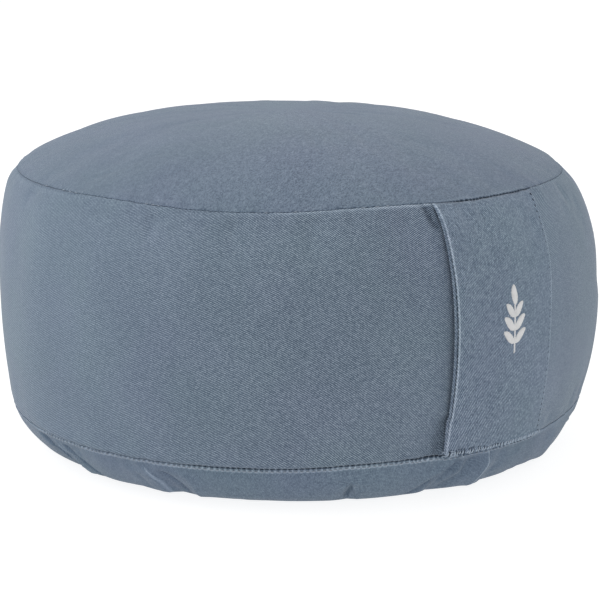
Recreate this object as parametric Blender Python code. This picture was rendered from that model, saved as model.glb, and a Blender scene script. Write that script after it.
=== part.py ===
"""A round, firmly filled meditation cushion in blue-grey cotton twill, with a carry handle on its side.

Metres, +Z up. The origin is the middle of the flat base, on the floor, and the handle is centred on -Y.
The three round pieces are turned from one shared section and the handle is wrapped over it. Then every
piece is settled in the same way, so that the pieces stay together: the crown leans, the seams run a little
oval, and the foot of the cushion gathers in tucks.

The unevenness is given by compass angles in degrees, seen from above. They grow anticlockwise, and the
handle is at HANDLE_COMPASS.
"""
import math
from collections import namedtuple

import bmesh
import bpy
from mathutils import Vector

# The section of the cushion, as radii and heights
TOP_SEAM_RADIUS = 0.148
TOP_SEAM_HEIGHT = 0.150
CROWN_RISE = 0.0305
CROWN_FULLNESS = 2.93
WIDEST_RADIUS = 0.165
WIDEST_HEIGHT = 0.079
SHOULDER_FULLNESS = 3.05
HIP_FULLNESS = 1.98
LOW_SEAM_RADIUS = 0.159
LOW_SEAM_HEIGHT = 0.0227
FLAT_RADIUS = 0.1316
FOOT_FULLNESS = 2.85

# The cloth, and the gap that keeps two sewn pieces apart
CLOTH = 0.002
GAP = 0.0004

# The handle: a doubled strip, thicker and lifted along its free left edge, flat where it is sewn
HANDLE_WIDTH = 0.066
HANDLE_THICK = 0.0026
HANDLE_SEWN_THICK = 0.0018
HANDLE_FREE_THICK = 0.0038
HANDLE_LIFT = 0.0018
HANDLE_EDGE_FALLOFF = 3
HANDLE_END_FALLOFF = 0.6
HANDLE_END_MARGIN = 0.0006
HANDLE_COMPASS = 39.7

# How finely the pieces are drawn. A crowd below 1 draws rings closer together towards a curve's end.
TURN_STEPS = 120
BAND_STEPS = 9
CROWN_STEPS = 7
CROWN_CROWD = 0.75
FOOT_STEPS = 6
FOOT_CROWD = 0.8
HANDLE_STEPS_ACROSS = 10
HANDLE_STEPS_DOWN = 14
SLOPE_STEP = 0.001
WELD = 1e-5
SHARP_ANGLE = 50

# Colours, as linear red, green and blue, and how matt the twill is
TOP_BLUE = (0.178, 0.222, 0.287)
BAND_BLUE = (0.158, 0.202, 0.266)
BASE_BLUE = (0.145, 0.190, 0.250)
HANDLE_BLUE = (0.163, 0.207, 0.271)
TWILL_ROUGHNESS = 0.88

# How far a seam or an edge strays from its circle: once a turn (lean), twice a turn (skew and oval)
Stray = namedtuple("Stray", "lean skew oval")
TOP_SEAM_OUT = Stray(lean=-0.0054, skew=0.0023, oval=-0.0023)
TOP_SEAM_UP = Stray(lean=-0.0003, skew=0.0012, oval=-0.0013)
LOW_SEAM_OUT = Stray(lean=-0.0015, skew=-0.0009, oval=0.0008)
LOW_SEAM_UP = Stray(lean=-0.0009, skew=0.0012, oval=0.0)
FLAT_EDGE_OUT = Stray(lean=0.0015, skew=0.0, oval=0.0)
CROWN_DRIFT = -0.0038

# The foot's tucks. A row is one fold line, from its compass angle at the seam to that on the floor. Rise is
# how far it stands out, or in below zero. Left and right are how wide its two slopes are, and start is how
# far below the seam it begins, as a share of the foot's height.
Tuck = namedtuple("Tuck", "seam_deg floor_deg rise left right start")
TUCKS = (
    Tuck(seam_deg=-57, floor_deg=-51, rise=-0.0034, left=0.012, right=0.008, start=0.05),
    Tuck(seam_deg=-51, floor_deg=-46, rise=0.0018, left=0.008, right=0.014, start=0.05),
    Tuck(seam_deg=-30, floor_deg=-28, rise=0.0016, left=0.016, right=0.007, start=0.10),
    Tuck(seam_deg=-26, floor_deg=-25, rise=-0.0026, left=0.007, right=0.016, start=0.15),
    Tuck(seam_deg=9, floor_deg=10, rise=-0.0018, left=0.009, right=0.007, start=0.45),
    Tuck(seam_deg=32, floor_deg=27, rise=-0.0032, left=0.007, right=0.018, start=0.05),
    Tuck(seam_deg=39, floor_deg=38, rise=0.0022, left=0.018, right=0.007, start=0.05),
    Tuck(seam_deg=74, floor_deg=79, rise=-0.0024, left=0.014, right=0.008, start=0.20),
    Tuck(seam_deg=103, floor_deg=98, rise=0.0016, left=0.015, right=0.008, start=0.10),
    Tuck(seam_deg=109, floor_deg=105, rise=-0.0028, left=0.008, right=0.015, start=0.10),
    Tuck(seam_deg=141, floor_deg=146, rise=-0.0020, left=0.010, right=0.012, start=0.30),
    Tuck(seam_deg=172, floor_deg=166, rise=-0.0030, left=0.016, right=0.008, start=0.05),
    Tuck(seam_deg=179, floor_deg=174, rise=0.0018, left=0.008, right=0.014, start=0.10),
    Tuck(seam_deg=212, floor_deg=216, rise=-0.0022, left=0.009, right=0.013, start=0.25),
    Tuck(seam_deg=244, floor_deg=239, rise=0.0015, left=0.014, right=0.008, start=0.15),
    Tuck(seam_deg=250, floor_deg=246, rise=-0.0027, left=0.008, right=0.017, start=0.10),
    Tuck(seam_deg=279, floor_deg=283, rise=-0.0019, left=0.012, right=0.009, start=0.30),
)
TUCK_GROWTH = 0.35
TUCK_SHARPNESS = 1.5


def between(low, high, share):
    return low + (high - low) * share


def within(value, low=0.0, high=1.0):
    return max(low, min(high, value))


def eased(share):
    share = within(share)
    return share * share * (3 - 2 * share)


# A point of a piece's section, and the point of the cushion's face that it lies under or over
Station = namedtuple("Station", "point face")


# The section curves. Each gives a point as (radius, height).
def crown_point(out):
    """The top panel's face, from the middle (0) to the top seam (1)."""
    return Vector((TOP_SEAM_RADIUS * out, TOP_SEAM_HEIGHT + CROWN_RISE * (1 - out**CROWN_FULLNESS)))


def band_radius(height):
    if height > WIDEST_HEIGHT:
        up = (height - WIDEST_HEIGHT) / (TOP_SEAM_HEIGHT - WIDEST_HEIGHT)
        return between(WIDEST_RADIUS, TOP_SEAM_RADIUS, up**SHOULDER_FULLNESS)
    down = (WIDEST_HEIGHT - height) / (WIDEST_HEIGHT - LOW_SEAM_HEIGHT)
    return between(WIDEST_RADIUS, LOW_SEAM_RADIUS, down**HIP_FULLNESS)


def band_point(down):
    """The band's face, from the top seam (0) to the low seam (1)."""
    height = between(TOP_SEAM_HEIGHT, LOW_SEAM_HEIGHT, down)
    return Vector((band_radius(height), height))


def foot_point(under):
    """The base panel's face, from the low seam (0) to the edge of the flat base (1)."""
    radius = between(LOW_SEAM_RADIUS, FLAT_RADIUS, under)
    return Vector((radius, LOW_SEAM_HEIGHT * (1 - under) ** FOOT_FULLNESS))


def outward(curve, at):
    """The direction off the face at a point of a section curve that runs from the top down."""
    ahead = curve(min(at + SLOPE_STEP, 1)) - curve(max(at - SLOPE_STEP, 0))
    return Vector((-ahead.y, ahead.x)).normalized()


def section(curve, shares, depth=0.0):
    """Stations at these shares of a section curve, sunk by depth under its face."""
    return [Station(curve(at) - outward(curve, at) * depth, curve(at)) for at in shares]


def spaced(steps, start=0.0, end=1.0, crowd=1.0):
    """Shares of a curve from start to end."""
    return [between(start, end, (step / steps) ** crowd) for step in range(steps + 1)]


# Unevenness, shared by all pieces
def stray(amounts, compass):
    turn = math.radians(compass)
    return (amounts.lean * math.sin(turn) + amounts.skew * math.sin(2 * turn)
            + amounts.oval * math.cos(2 * turn))


def tuck_push(compass, height):
    """How far the tucks push the foot's cloth out at a compass angle and a height."""
    down = 1 - within(height / LOW_SEAM_HEIGHT)
    push = 0.0
    for tuck in TUCKS:
        line = between(tuck.seam_deg, tuck.floor_deg, down)
        turn = (compass - line + 180) % 360 - 180
        arc = LOW_SEAM_RADIUS * math.radians(turn)
        reach = tuck.left if arc < 0 else tuck.right
        nearness = max(0.0, 1 - abs(arc) / reach) ** TUCK_SHARPNESS
        push += tuck.rise * nearness * eased((down - tuck.start) / TUCK_GROWTH)
    return push


def seam_pull(compass, height):
    """How far the seams' ovals draw the cushion out at a height."""
    if height >= WIDEST_HEIGHT:
        up = within((height - WIDEST_HEIGHT) / (TOP_SEAM_HEIGHT - WIDEST_HEIGHT))
        return stray(TOP_SEAM_OUT, compass) * up**SHOULDER_FULLNESS
    if height >= LOW_SEAM_HEIGHT:
        down = (WIDEST_HEIGHT - height) / (WIDEST_HEIGHT - LOW_SEAM_HEIGHT)
        return stray(LOW_SEAM_OUT, compass) * down**HIP_FULLNESS
    under = 1 - within(height / LOW_SEAM_HEIGHT) ** (1 / FOOT_FULLNESS)
    return between(stray(LOW_SEAM_OUT, compass), stray(FLAT_EDGE_OUT, compass), under)


def seam_rise(compass, height):
    """How far the seams' waves lift the cushion at a height. The floor stays level."""
    if height <= LOW_SEAM_HEIGHT:
        return stray(LOW_SEAM_UP, compass) * max(0.0, height) / LOW_SEAM_HEIGHT
    up = within((height - LOW_SEAM_HEIGHT) / (TOP_SEAM_HEIGHT - LOW_SEAM_HEIGHT))
    return between(stray(LOW_SEAM_UP, compass), stray(TOP_SEAM_UP, compass), up)


def settle(point, face):
    """Moves a point of the perfectly round cushion as the face point over it goes on the real one."""
    angle = math.atan2(point.x, -point.y)
    compass = HANDLE_COMPASS + math.degrees(angle)
    out = within(face.x / TOP_SEAM_RADIUS)
    crown = 1 - out**CROWN_FULLNESS
    push = out * (seam_pull(compass, face.y) + tuck_push(compass, face.y))
    rise = (1 - crown) * seam_rise(compass, face.y)
    across = math.radians(90 - HANDLE_COMPASS)
    drift = CROWN_DRIFT * crown * within(face.y / TOP_SEAM_HEIGHT)
    return point + Vector((
        push * math.sin(angle) + drift * math.sin(across),
        -push * math.cos(angle) - drift * math.cos(across),
        rise,
    ))


# Making the pieces
def twill(name, colour):
    material = bpy.data.materials.new(name)
    material.use_nodes = True
    shader = material.node_tree.nodes["Principled BSDF"]
    shader.inputs["Base Color"].default_value = (*colour, 1)
    shader.inputs["Roughness"].default_value = TWILL_ROUGHNESS
    shader.inputs["Metallic"].default_value = 0
    material.diffuse_color = (*colour, 1)
    return material


def new_shape():
    """An empty shape, and the layers in which each point keeps the radius and height of its face point."""
    shape = bmesh.new()
    return shape, shape.verts.layers.float.new("face_radius"), shape.verts.layers.float.new("face_height")


def finished(name, shape, material):
    """Settles a finished shape and puts it in the scene.

    Its twisted quads are cut along their short diagonal, so that facing sheets bend at the same places.
    """
    face_radius = shape.verts.layers.float["face_radius"]
    face_height = shape.verts.layers.float["face_height"]
    for vert in shape.verts:
        vert.co = settle(vert.co, Vector((vert[face_radius], vert[face_height])))
    bmesh.ops.triangulate(shape, faces=shape.faces, quad_method="SHORT_EDGE")
    bmesh.ops.recalc_face_normals(shape, faces=shape.faces)
    mesh = bpy.data.meshes.new(name)
    shape.to_mesh(mesh)
    shape.free()
    mesh.shade_smooth()
    mesh.set_sharp_from_angle(angle=math.radians(SHARP_ANGLE))
    mesh.materials.append(material)
    piece = bpy.data.objects.new(name, mesh)
    bpy.context.scene.collection.objects.link(piece)
    return piece


def turned(name, stations, material):
    """A round piece, spun from a section whose two ends lie on the axis."""
    shape, face_radius, face_height = new_shape()
    verts = []
    for station in stations:
        vert = shape.verts.new((0, -station.point.x, station.point.y))
        vert[face_radius], vert[face_height] = station.face
        verts.append(vert)
    edges = [shape.edges.new(pair) for pair in zip(verts, verts[1:])]
    bmesh.ops.spin(shape, geom=verts + edges, cent=(0, 0, 0), axis=(0, 0, 1), angle=2 * math.pi,
                   steps=TURN_STEPS, use_merge=True, use_duplicate=False)
    bmesh.ops.remove_doubles(shape, verts=shape.verts, dist=WELD)
    return finished(name, shape, material)


def on_axis(station):
    """The middle of a flat disc that ends at this station."""
    return Station(Vector((0, station.point.y)), Vector((0, station.face.y)))


# Where along the section the two panels have their points. Each panel stops a gap short of its seam.
CROWN_SHARES = spaced(CROWN_STEPS, end=1 - GAP / TOP_SEAM_RADIUS, crowd=CROWN_CROWD)
FOOT_SHARES = spaced(FOOT_STEPS, start=GAP / (LOW_SEAM_HEIGHT * FOOT_FULLNESS), crowd=FOOT_CROWD)


def top_panel():
    face = section(crown_point, CROWN_SHARES)
    back = section(crown_point, CROWN_SHARES, depth=CLOTH)
    return turned("top_panel", face + back[::-1], twill("top_twill", TOP_BLUE))


def filled_band():
    """The filling with the side band around it. Its two ends are seats for the panels' cloth."""
    seat = section(crown_point, CROWN_SHARES + [1.0], depth=CLOTH + GAP)
    band = section(band_point, spaced(BAND_STEPS))
    foot = section(foot_point, [0.0] + FOOT_SHARES, depth=CLOTH + GAP)
    stations = seat + band + foot + [on_axis(foot[-1])]
    return turned("filled_band", stations, twill("band_twill", BAND_BLUE))


def base_panel():
    face = section(foot_point, FOOT_SHARES)
    back = section(foot_point, FOOT_SHARES, depth=CLOTH)
    stations = [on_axis(back[-1])] + back[::-1] + face + [on_axis(face[-1])]
    return turned("base_panel", stations, twill("base_twill", BASE_BLUE))


def handle():
    """A doubled strip drawn flat, then wrapped over the band from seam to seam.

    Its free left edge stands off the band, most at mid-height, and the rest lies flat on it.
    """
    shape, face_radius, face_height = new_shape()
    bmesh.ops.create_grid(shape, x_segments=HANDLE_STEPS_ACROSS, y_segments=HANDLE_STEPS_DOWN, size=0.5)
    face = bmesh.ops.extrude_face_region(shape, geom=shape.faces[:])["geom"]
    bmesh.ops.translate(shape, vec=(0, 0, 1), verts=[v for v in face if isinstance(v, bmesh.types.BMVert)])
    band_length = TOP_SEAM_HEIGHT - LOW_SEAM_HEIGHT
    margin = HANDLE_END_MARGIN / band_length
    for vert in shape.verts:
        across, down, layer = vert.co.x * HANDLE_WIDTH, 0.5 - vert.co.y, vert.co.z
        free = (0.5 - vert.co.x) ** HANDLE_EDGE_FALLOFF
        loose = math.sin(math.pi * within(down)) ** HANDLE_END_FALLOFF
        thick = between(HANDLE_SEWN_THICK, between(HANDLE_THICK, HANDLE_FREE_THICK, free), loose)
        above = GAP + HANDLE_LIFT * free * loose + thick * layer
        at = between(margin, 1 - margin, down)
        seat = band_point(at)
        place = seat + outward(band_point, at) * above
        angle = across / seat.x
        vert.co = (place.x * math.sin(angle), -place.x * math.cos(angle), place.y)
        vert[face_radius], vert[face_height] = seat
    return finished("handle", shape, twill("handle_twill", HANDLE_BLUE))


def main():
    for old in list(bpy.data.objects):
        bpy.data.objects.remove(old, do_unlink=True)
    top_panel()
    filled_band()
    base_panel()
    handle()


main()
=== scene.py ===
"""A round meditation cushion of cotton twill with a carry handle, dressed over its packed solids.

The file is laid out as a Blender add-on and is run as a script. It works in metres, +Z up, with the
origin at the middle of the base on the floor. Compass angles are in degrees, seen from above: 0 faces the
camera, they grow anticlockwise, and the handle is at HANDLE_COMPASS. Girth is the way down over the cover,
measured on the cloth: 0 at the top seam, negative on the crown, then the band, the low seam and the foot.
"""
import math
import random
from collections import namedtuple

import bmesh
import bpy
import numpy as np
from bpy.props import FloatProperty, FloatVectorProperty, IntProperty, PointerProperty
from mathutils import Matrix, Vector
from mathutils.kdtree import KDTree


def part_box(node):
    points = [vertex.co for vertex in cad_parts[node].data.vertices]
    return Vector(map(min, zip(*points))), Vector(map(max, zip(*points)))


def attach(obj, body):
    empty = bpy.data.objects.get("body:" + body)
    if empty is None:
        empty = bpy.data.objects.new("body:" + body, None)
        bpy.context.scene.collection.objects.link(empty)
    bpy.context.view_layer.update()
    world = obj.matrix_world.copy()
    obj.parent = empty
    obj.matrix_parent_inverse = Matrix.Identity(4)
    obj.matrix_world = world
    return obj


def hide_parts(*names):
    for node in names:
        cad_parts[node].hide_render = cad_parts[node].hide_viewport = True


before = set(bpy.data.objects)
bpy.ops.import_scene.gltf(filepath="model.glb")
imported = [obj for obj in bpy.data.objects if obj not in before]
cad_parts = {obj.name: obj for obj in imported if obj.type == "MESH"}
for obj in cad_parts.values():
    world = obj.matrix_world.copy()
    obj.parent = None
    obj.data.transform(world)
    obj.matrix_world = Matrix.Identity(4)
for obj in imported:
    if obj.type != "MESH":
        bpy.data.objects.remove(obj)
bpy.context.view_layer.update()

CROWN_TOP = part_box("top_panel")[1].z
FLOOR_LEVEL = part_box("base_panel")[0].z
BODY = "root"

bl_info = {
    "name": "Meditation cushion",
    "version": (1, 0, 0),
    "blender": (4, 5, 0),
    "location": "3D View > Sidebar > Cushion",
    "description": "Sews a round, firmly filled cushion with a carry handle",
    "category": "Add Mesh",
}

HANDLE_COMPASS = 39.7
HANDLE_HALF_DEG = 12.5
HANDLE_HALF_WIDTH = 0.0325
CROWN_RISE = 0.0305
HAIR = 1e-6
WELD = 1e-7
CAGE_WELD = 1e-5
MM = 0.001
FULL_TURN = 2 * math.pi


# Settings that a user would change
def length(name, description, default):
    return FloatProperty(name=name, description=description, default=default, unit="LENGTH", precision=5)


def share(name, description, default):
    return FloatProperty(name=name, description=description, default=default, min=0.0, max=1.0)


def number(name, description, default):
    return FloatProperty(name=name, description=description, default=default)


def colour(name, description, default):
    return FloatVectorProperty(name=name, description=description, default=default, size=3, subtype="COLOR",
                               min=0.0, max=1.0)


class CushionForm(bpy.types.PropertyGroup):
    """The section of the filled cushion"""
    top_seam_radius: length("Top seam radius", "Radius of the seam round the top panel", 0.148)
    top_seam_height: length("Top seam height", "Height of the top seam over the floor",
                            CROWN_TOP - CROWN_RISE)
    crown_rise: length("Crown rise", "How far the crown stands over the top seam", CROWN_RISE)
    crown_fullness: number("Crown fullness", "How flat the crown is before it turns down", 2.93)
    widest_radius: length("Widest radius", "Radius of the band at its fullest", 0.165)
    widest_height: length("Widest height", "Height at which the band is fullest", 0.079)
    shoulder_fullness: number("Shoulder fullness", "How late the band draws in to the top seam", 3.05)
    hip_fullness: number("Hip fullness", "How late the band draws in to the low seam", 1.98)
    low_seam_radius: length("Low seam radius", "Radius of the seam round the base panel", 0.159)
    low_seam_height: length("Low seam height", "Height of the low seam over the floor", 0.0227)
    flat_radius: length("Flat radius", "Radius of the flat part of the base", 0.1316)
    foot_fullness: number("Foot fullness", "How the base panel curves up to its seam", 2.85)
    cloth: length("Cloth", "Thickness of a panel with its seam allowance", 0.002)
    seat: length("Seat", "Depth of the filled body under the panels", 0.0024)
    turn_steps: IntProperty(name="Turn steps", description="Steps round the cushion", default=600)


class SeamWork(bpy.types.PropertyGroup):
    """The two seams and their stitches"""
    top_edge: length("Top edge", "Radius over which both edges turn into the top seam", 0.0006)
    band_edge: length("Band edge", "Radius over which the band turns under to the low seam", 0.0020)
    lip: length("Lip", "Radius of the base panel's edge at the low seam", 0.0007)
    ease: length("Ease", "How far from a seam the cloth still feels it", 0.0045)
    top_pitch: length("Top stitch", "Length of a stitch of the top seam", 0.00245)
    low_pitch: length("Low stitch", "Length of a stitch of the low seam", 0.0028)
    top_gap: length("Top gap", "Half the width of the top seam between stitches", 0.00006)
    low_gap: length("Low gap", "Half the width of the low seam between stitches", 0.00022)
    pinch: length("Pinch", "How far a stitch draws the cloth in", 0.00030)
    overhang: length("Overhang", "How far the band stands out over the low seam", 0.0010)
    bead: length("Bead", "Height of the beads that the stitches raise on the base's edge", 0.00055)
    thread: length("Thread", "Half the thickness of the sewing thread", 0.00022)
    # How strongly the seam lips are painted paler, from use and as a painted highlight, and how strongly the
    # painted shade under the top lip and the painted highlight beside the handle are painted
    lip_wear_and_painted_light: share("Lip wear", "How much paler the worn edges beside the seams are", 0.85)
    pucker: length("Pucker", "Height of the puckers that run from the seams", 0.00045)


class CarryHandle(bpy.types.PropertyGroup):
    """The doubled strip on the side"""
    half_width: length("Half width", "Half the width of the handle at its middle",
                       HANDLE_HALF_WIDTH)
    sewn_thick: length("Sewn thickness", "Thickness at the sewn edge and ends", 0.0018)
    thick: length("Thickness", "Thickness at the middle", 0.0024)
    fold: length("Fold", "Thickness of one fold of the free edge", 0.0014)
    fold_step: length("Fold step", "How far the back fold stands out past the front one", 0.0013)
    lift: length("Lift", "How far the free edge stands off the band", 0.0018)
    slit: length("Slit", "Room between the two folds of the free edge", 0.0002)
    gap: length("Gap", "Room between the handle and the band", 0.0003)
    top_roll: length("Top roll", "Length over which the upper end turns down into its seam", 0.0060)
    low_roll: length("Low roll", "Length over which the lower end turns down", 0.0009)
    low_stop: length("Low stop", "How far over the low seam the handle's folded end lies", 0.0015)
    hem_pitch: length("Hem stitch", "Spacing of the overlock stitches on the low end", 0.0020)


class TwillLook(bpy.types.PropertyGroup):
    """Colours and weave of the cotton twill"""
    top_blue: colour("Top blue", "Colour of the top panel", (0.169, 0.223, 0.301))
    band_blue: colour("Band blue", "Colour of the side band", (0.199, 0.262, 0.344))
    base_blue: colour("Base blue", "Colour of the base panel", (0.178, 0.240, 0.324))
    handle_blue: colour("Handle blue", "Colour of the handle", (0.209, 0.276, 0.366))
    thread_blue: colour("Thread blue", "Colour of the sewing thread", (0.360, 0.425, 0.510))
    hem_blue: colour("Hem blue", "Colour of the overlock thread on the handle's low end", (0.50, 0.60, 0.72))
    # A near-black thread: its strands paint the shade in the handle's slit, needle holes, hem furrow and
    # between the hem's stitch heads
    shade_blue: colour("Shade blue", "Colour of the thread sunk in the handle's edge", (0.045, 0.062, 0.090))
    floss_white: colour("Floss white", "Colour of the embroidery floss", (0.985, 0.985, 0.990))
    pitch: length("Twill pitch", "Distance from one twill rib to the next", 0.00083)
    rib_lean: number("Rib lean", "Slope of the ribs as the cloth is woven, in degrees", -24.9)
    yarn: length("Yarn pitch", "Distance from one yarn to the next", 0.00045)
    band_ribs: share("Band ribs", "Contrast of the ribs on the band", 0.62)
    top_ribs: share("Top ribs", "Contrast of the ribs on the top panel", 0.22)
    base_ribs: share("Base ribs", "Contrast of the ribs on the base panel", 0.20)
    handle_ribs: share("Handle ribs", "Contrast of the ribs on the handle", 0.46)
    grain: share("Grain", "Unevenness of the cloth from yarn to yarn", 0.15)
    melange: share("Melange", "How much one stitch of the weave differs from the next", 0.27)
    roughness: share("Roughness", "Roughness of the cloth", 0.88)
    sheen: share("Sheen", "Light caught by the cotton's fuzz", 0.22)


class StudioLook(bpy.types.PropertyGroup):
    """Camera, light and floor"""
    azimuth: number("Azimuth", "Direction of the camera from the handle, in degrees", -HANDLE_COMPASS)
    elevation: number("Elevation", "Height of the camera over the horizon, in degrees", 12.35)
    distance: length("Distance", "Distance from the camera to the point it is set on", 1.127)
    aim_height: length("Aim height", "Height of the point that the camera is set on", 0.0755)
    lens: number("Lens", "Focal length on a 36 mm sensor", 120.6)
    shift_x: number("Shift across", "Sideways shift of the lens", 0.0021)
    shift_y: number("Shift up", "Upward shift of the lens", -0.0077)
    room_front: number("Room front", "Brightness of the white room on the camera's side", 0.58)
    room_back: number("Room back", "Brightness of the white room beyond the cushion", 0.74)
    key_light: number("Key light", "Power of the large lamp on the left", 4.2)
    rim_light: number("Rim light", "Power of the lamp behind on the right", 0.9)
    top_light: number("Top light", "Power of the lamp overhead", 1.2)
    floor_white: share("Floor white", "Brightness of the floor", 0.30)
    floor_glow: share("Floor glow", "Light that the floor gives off to the camera", 0.86)
    floor_light: share("Floor light", "Light that the floor gives off to the cushion", 0.50)


# Unevenness, as in the packed solids: once a turn (lean), twice a turn (skew and oval)
Stray = namedtuple("Stray", "lean skew oval")
TOP_SEAM_OUT = Stray(lean=-0.0054, skew=0.0023, oval=-0.0023)
TOP_SEAM_UP = Stray(lean=-0.0003, skew=0.0012, oval=-0.0013)
LOW_SEAM_OUT = Stray(lean=-0.0015, skew=-0.0009, oval=0.0008)
LOW_SEAM_UP = Stray(lean=-0.0009, skew=0.0012, oval=0.0)
FLAT_EDGE_OUT = Stray(lean=0.0015, skew=0.0, oval=0.0)
CROWN_DRIFT = -0.0038

# The foot's main tucks, as in the packed solids. A row is one fold line, from its compass angle at the seam
# to that on the floor, its rise out of the foot, the width of its two slopes and where it begins.
Tuck = namedtuple("Tuck", "seam_deg floor_deg rise left right start")
TUCKS = (
    Tuck(-57, -51, -0.0034, 0.012, 0.008, 0.05),
    Tuck(-51, -46, 0.0018, 0.008, 0.014, 0.05),
    Tuck(-30, -28, 0.0016, 0.016, 0.007, 0.10),
    Tuck(-26, -25, -0.0026, 0.007, 0.016, 0.15),
    Tuck(9, 10, -0.0018, 0.009, 0.007, 0.45),
    Tuck(32, 27, -0.0032, 0.007, 0.018, 0.05),
    Tuck(39, 38, 0.0022, 0.018, 0.007, 0.05),
    Tuck(74, 79, -0.0024, 0.014, 0.008, 0.20),
    Tuck(103, 98, 0.0016, 0.015, 0.008, 0.10),
    Tuck(109, 105, -0.0028, 0.008, 0.015, 0.10),
    Tuck(141, 146, -0.0020, 0.010, 0.012, 0.30),
    Tuck(172, 166, -0.0030, 0.016, 0.008, 0.05),
    Tuck(179, 174, 0.0018, 0.008, 0.014, 0.10),
    Tuck(212, 216, -0.0022, 0.009, 0.013, 0.25),
    Tuck(244, 239, 0.0015, 0.014, 0.008, 0.15),
    Tuck(250, 246, -0.0027, 0.008, 0.017, 0.10),
    Tuck(279, 283, -0.0019, 0.012, 0.009, 0.30),
)
TUCK_GROWTH = 0.35
TUCK_SHARPNESS = 1.5
FOLD_SHARPNESS = 2

# Folds, puckers and wrinkles that are too fine for the solids. A row is a line of places, each a compass
# angle and a distance past its seam (below zero: before it), with its rise, the width of its two slopes and
# how much paler its line is painted: above zero, a crest pale from use and with a painted highlight, and
# below zero, painted shade in a hollow.
Fold = namedtuple("Fold", "seam line rise left right worn")
FOLDS = (
    # The pleat under the handle: a deep valley, then a tongue of cloth that ends in a sharp crest
    Fold("low", ((31.6, 1.5), (30.1, 5.2), (28.5, 9.1), (26.7, 13.3), (25, 17.5), (23.4, 22), (21, 30)),
         -3.8, 2.0, 15.0, 0.0),
    Fold("low", ((35.4, 2.0), (33.6, 9.0), (32.0, 16.0), (30.5, 21), (29, 30)), -1.6, 7.0, 8.0, 0.0),
    Fold("low", ((37.6, -1.5), (38.2, 7.3), (38.0, 11.8), (37.5, 15.7), (37.0, 20), (36.4, 30)),
         1.8, 8.0, 0.9, 1.9),
    # The pleat on the left: a fine crest with a hollow on either side
    Fold("low", ((-29.2, 3.0), (-28.9, 5.5), (-28.0, 9.4), (-27.0, 14.5), (-26.8, 22), (-26.4, 30)),
         1.6, 6.0, 0.9, 2.0),
    Fold("low", ((-26.4, 4.0), (-25.0, 9.0), (-23.6, 15.0), (-23.0, 22), (-22.6, 30)), -2.6, 4.5, 6.5, 0.0),
    Fold("low", ((-21.0, 5.0), (-20.0, 15.0), (-19.6, 30)), 1.1, 5.0, 12.0, 0.0),
    Fold("low", ((-31.5, 9.0), (-30.5, 15.0), (-30.0, 24)), -0.9, 5.0, 5.0, 0.0),
    # A small hooked tuck near the middle
    Fold("low", ((6.6, 8.4), (8.3, 9.4), (9.5, 11.0), (10.1, 13.5), (10.2, 16.3), (9.9, 20), (9.8, 30)),
         -2.2, 5.0, 0.8, 0.0),
    Fold("low", ((9.6, 6.0), (11.2, 11.0), (11.8, 16.0), (11.6, 30)), 0.8, 1.4, 5.0, 0.0),
    # Two creases at the far left
    Fold("low", ((-53.0, 2.0), (-51.0, 7.6), (-49.4, 12.0), (-47.8, 16.5), (-45, 26)), 1.3, 4.0, 0.9, 0.8),
    Fold("low", ((-50.6, 3.0), (-48.2, 9.0), (-46.0, 15.0), (-43, 24)), -1.5, 2.5, 6.0, 0.0),
    Fold("low", ((-60.0, 3.0), (-57.0, 10.0), (-54, 22)), -1.6, 1.5, 6.0, 0.0),
    Fold("low", ((-57.0, 10.0), (-56.0, 24.0), (-55, 37)), -1.8, 36.0, 34.0, 0.0),
    Fold("low", ((-48.6, 8.0), (-48.0, 20.0), (-47.6, 37)), -1.7, 16.0, 16.0, 0.0),
    # Sides and back
    Fold("low", ((61.0, 4.0), (62.0, 22.0), (62.0, 37)), 1.6, 34.0, 38.0, 0.0),
    Fold("low", ((80.0, -70.0), (80.0, 14.0)), 1.2, 44.0, 44.0, 0.0),
    # The band falls in beside the handle's low corner, with painted shade in the hollow
    Fold("low", ((23.8, 3.0), (25.6, -2.0), (26.2, -12.0), (26.8, -24)), -1.4, 13.0, 7.0, -0.32),
    Fold("low", ((70.0, 4.0), (74.0, 12.0), (78.0, 28)), 0.6, 3.0, 6.0, 0.0),
    Fold("low", ((104.0, 1.0), (101.0, 12.0), (98.5, 30)), 1.5, 6.0, 0.9, 0.7),
    Fold("low", ((173.0, 1.0), (169.0, 12.0), (165.0, 28)), -2.2, 6.0, 1.4, 0.0),
    Fold("low", ((247.0, 1.0), (244.5, 12.0), (241.0, 28)), 1.4, 6.0, 0.9, 0.7),
    # A pucker beside the handle's top corner, with painted shade in it
    Fold("top", ((24.3, -0.5), (25.0, 5.0), (26.0, 15.0)), -1.7, 5.0, 1.8, -0.38),
    Fold("top", ((23.2, 0.5), (24.6, 18.0)), 0.6, 4.0, 2.2, 0.0),
    Fold("top", ((-50.0, -6.0), (-37.0, -48.0)), -0.3, 5.0, 6.0, 0.0),
    Fold("top", ((-45.0, -4.0), (-30.0, -40.0)), 0.22, 6.0, 4.0, 0.0),
    Fold("top", ((-39.0, -4.0), (-25.0, -34.0)), -0.24, 5.0, 5.0, 0.0),
    Fold("top", ((118.0, -3.0), (131.0, -40.0)), -0.35, 6.0, 6.0, 0.0),
    Fold("top", ((203.0, 1.0), (198.0, 22.0)), -0.6, 5.0, 4.0, 0.0),
)
# Share of a fold's length over which each end fades, how dark the shade painted in its hollow is, and how
# wide the pale line from use and painted highlight on its crest is
FOLD_ENDS = 0.16
FOLD_SHADE = 0.08
CREST_WIDTH = 0.42
# Compass angles at which the foot's mesh is not drawn along with the folds beside them
STILL_DEG = (-174, -135, -98, -72, -37, -14, 2, 16, 46, 60, 88, 118, 150)
FOLD_COLUMNS = 1200

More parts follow.
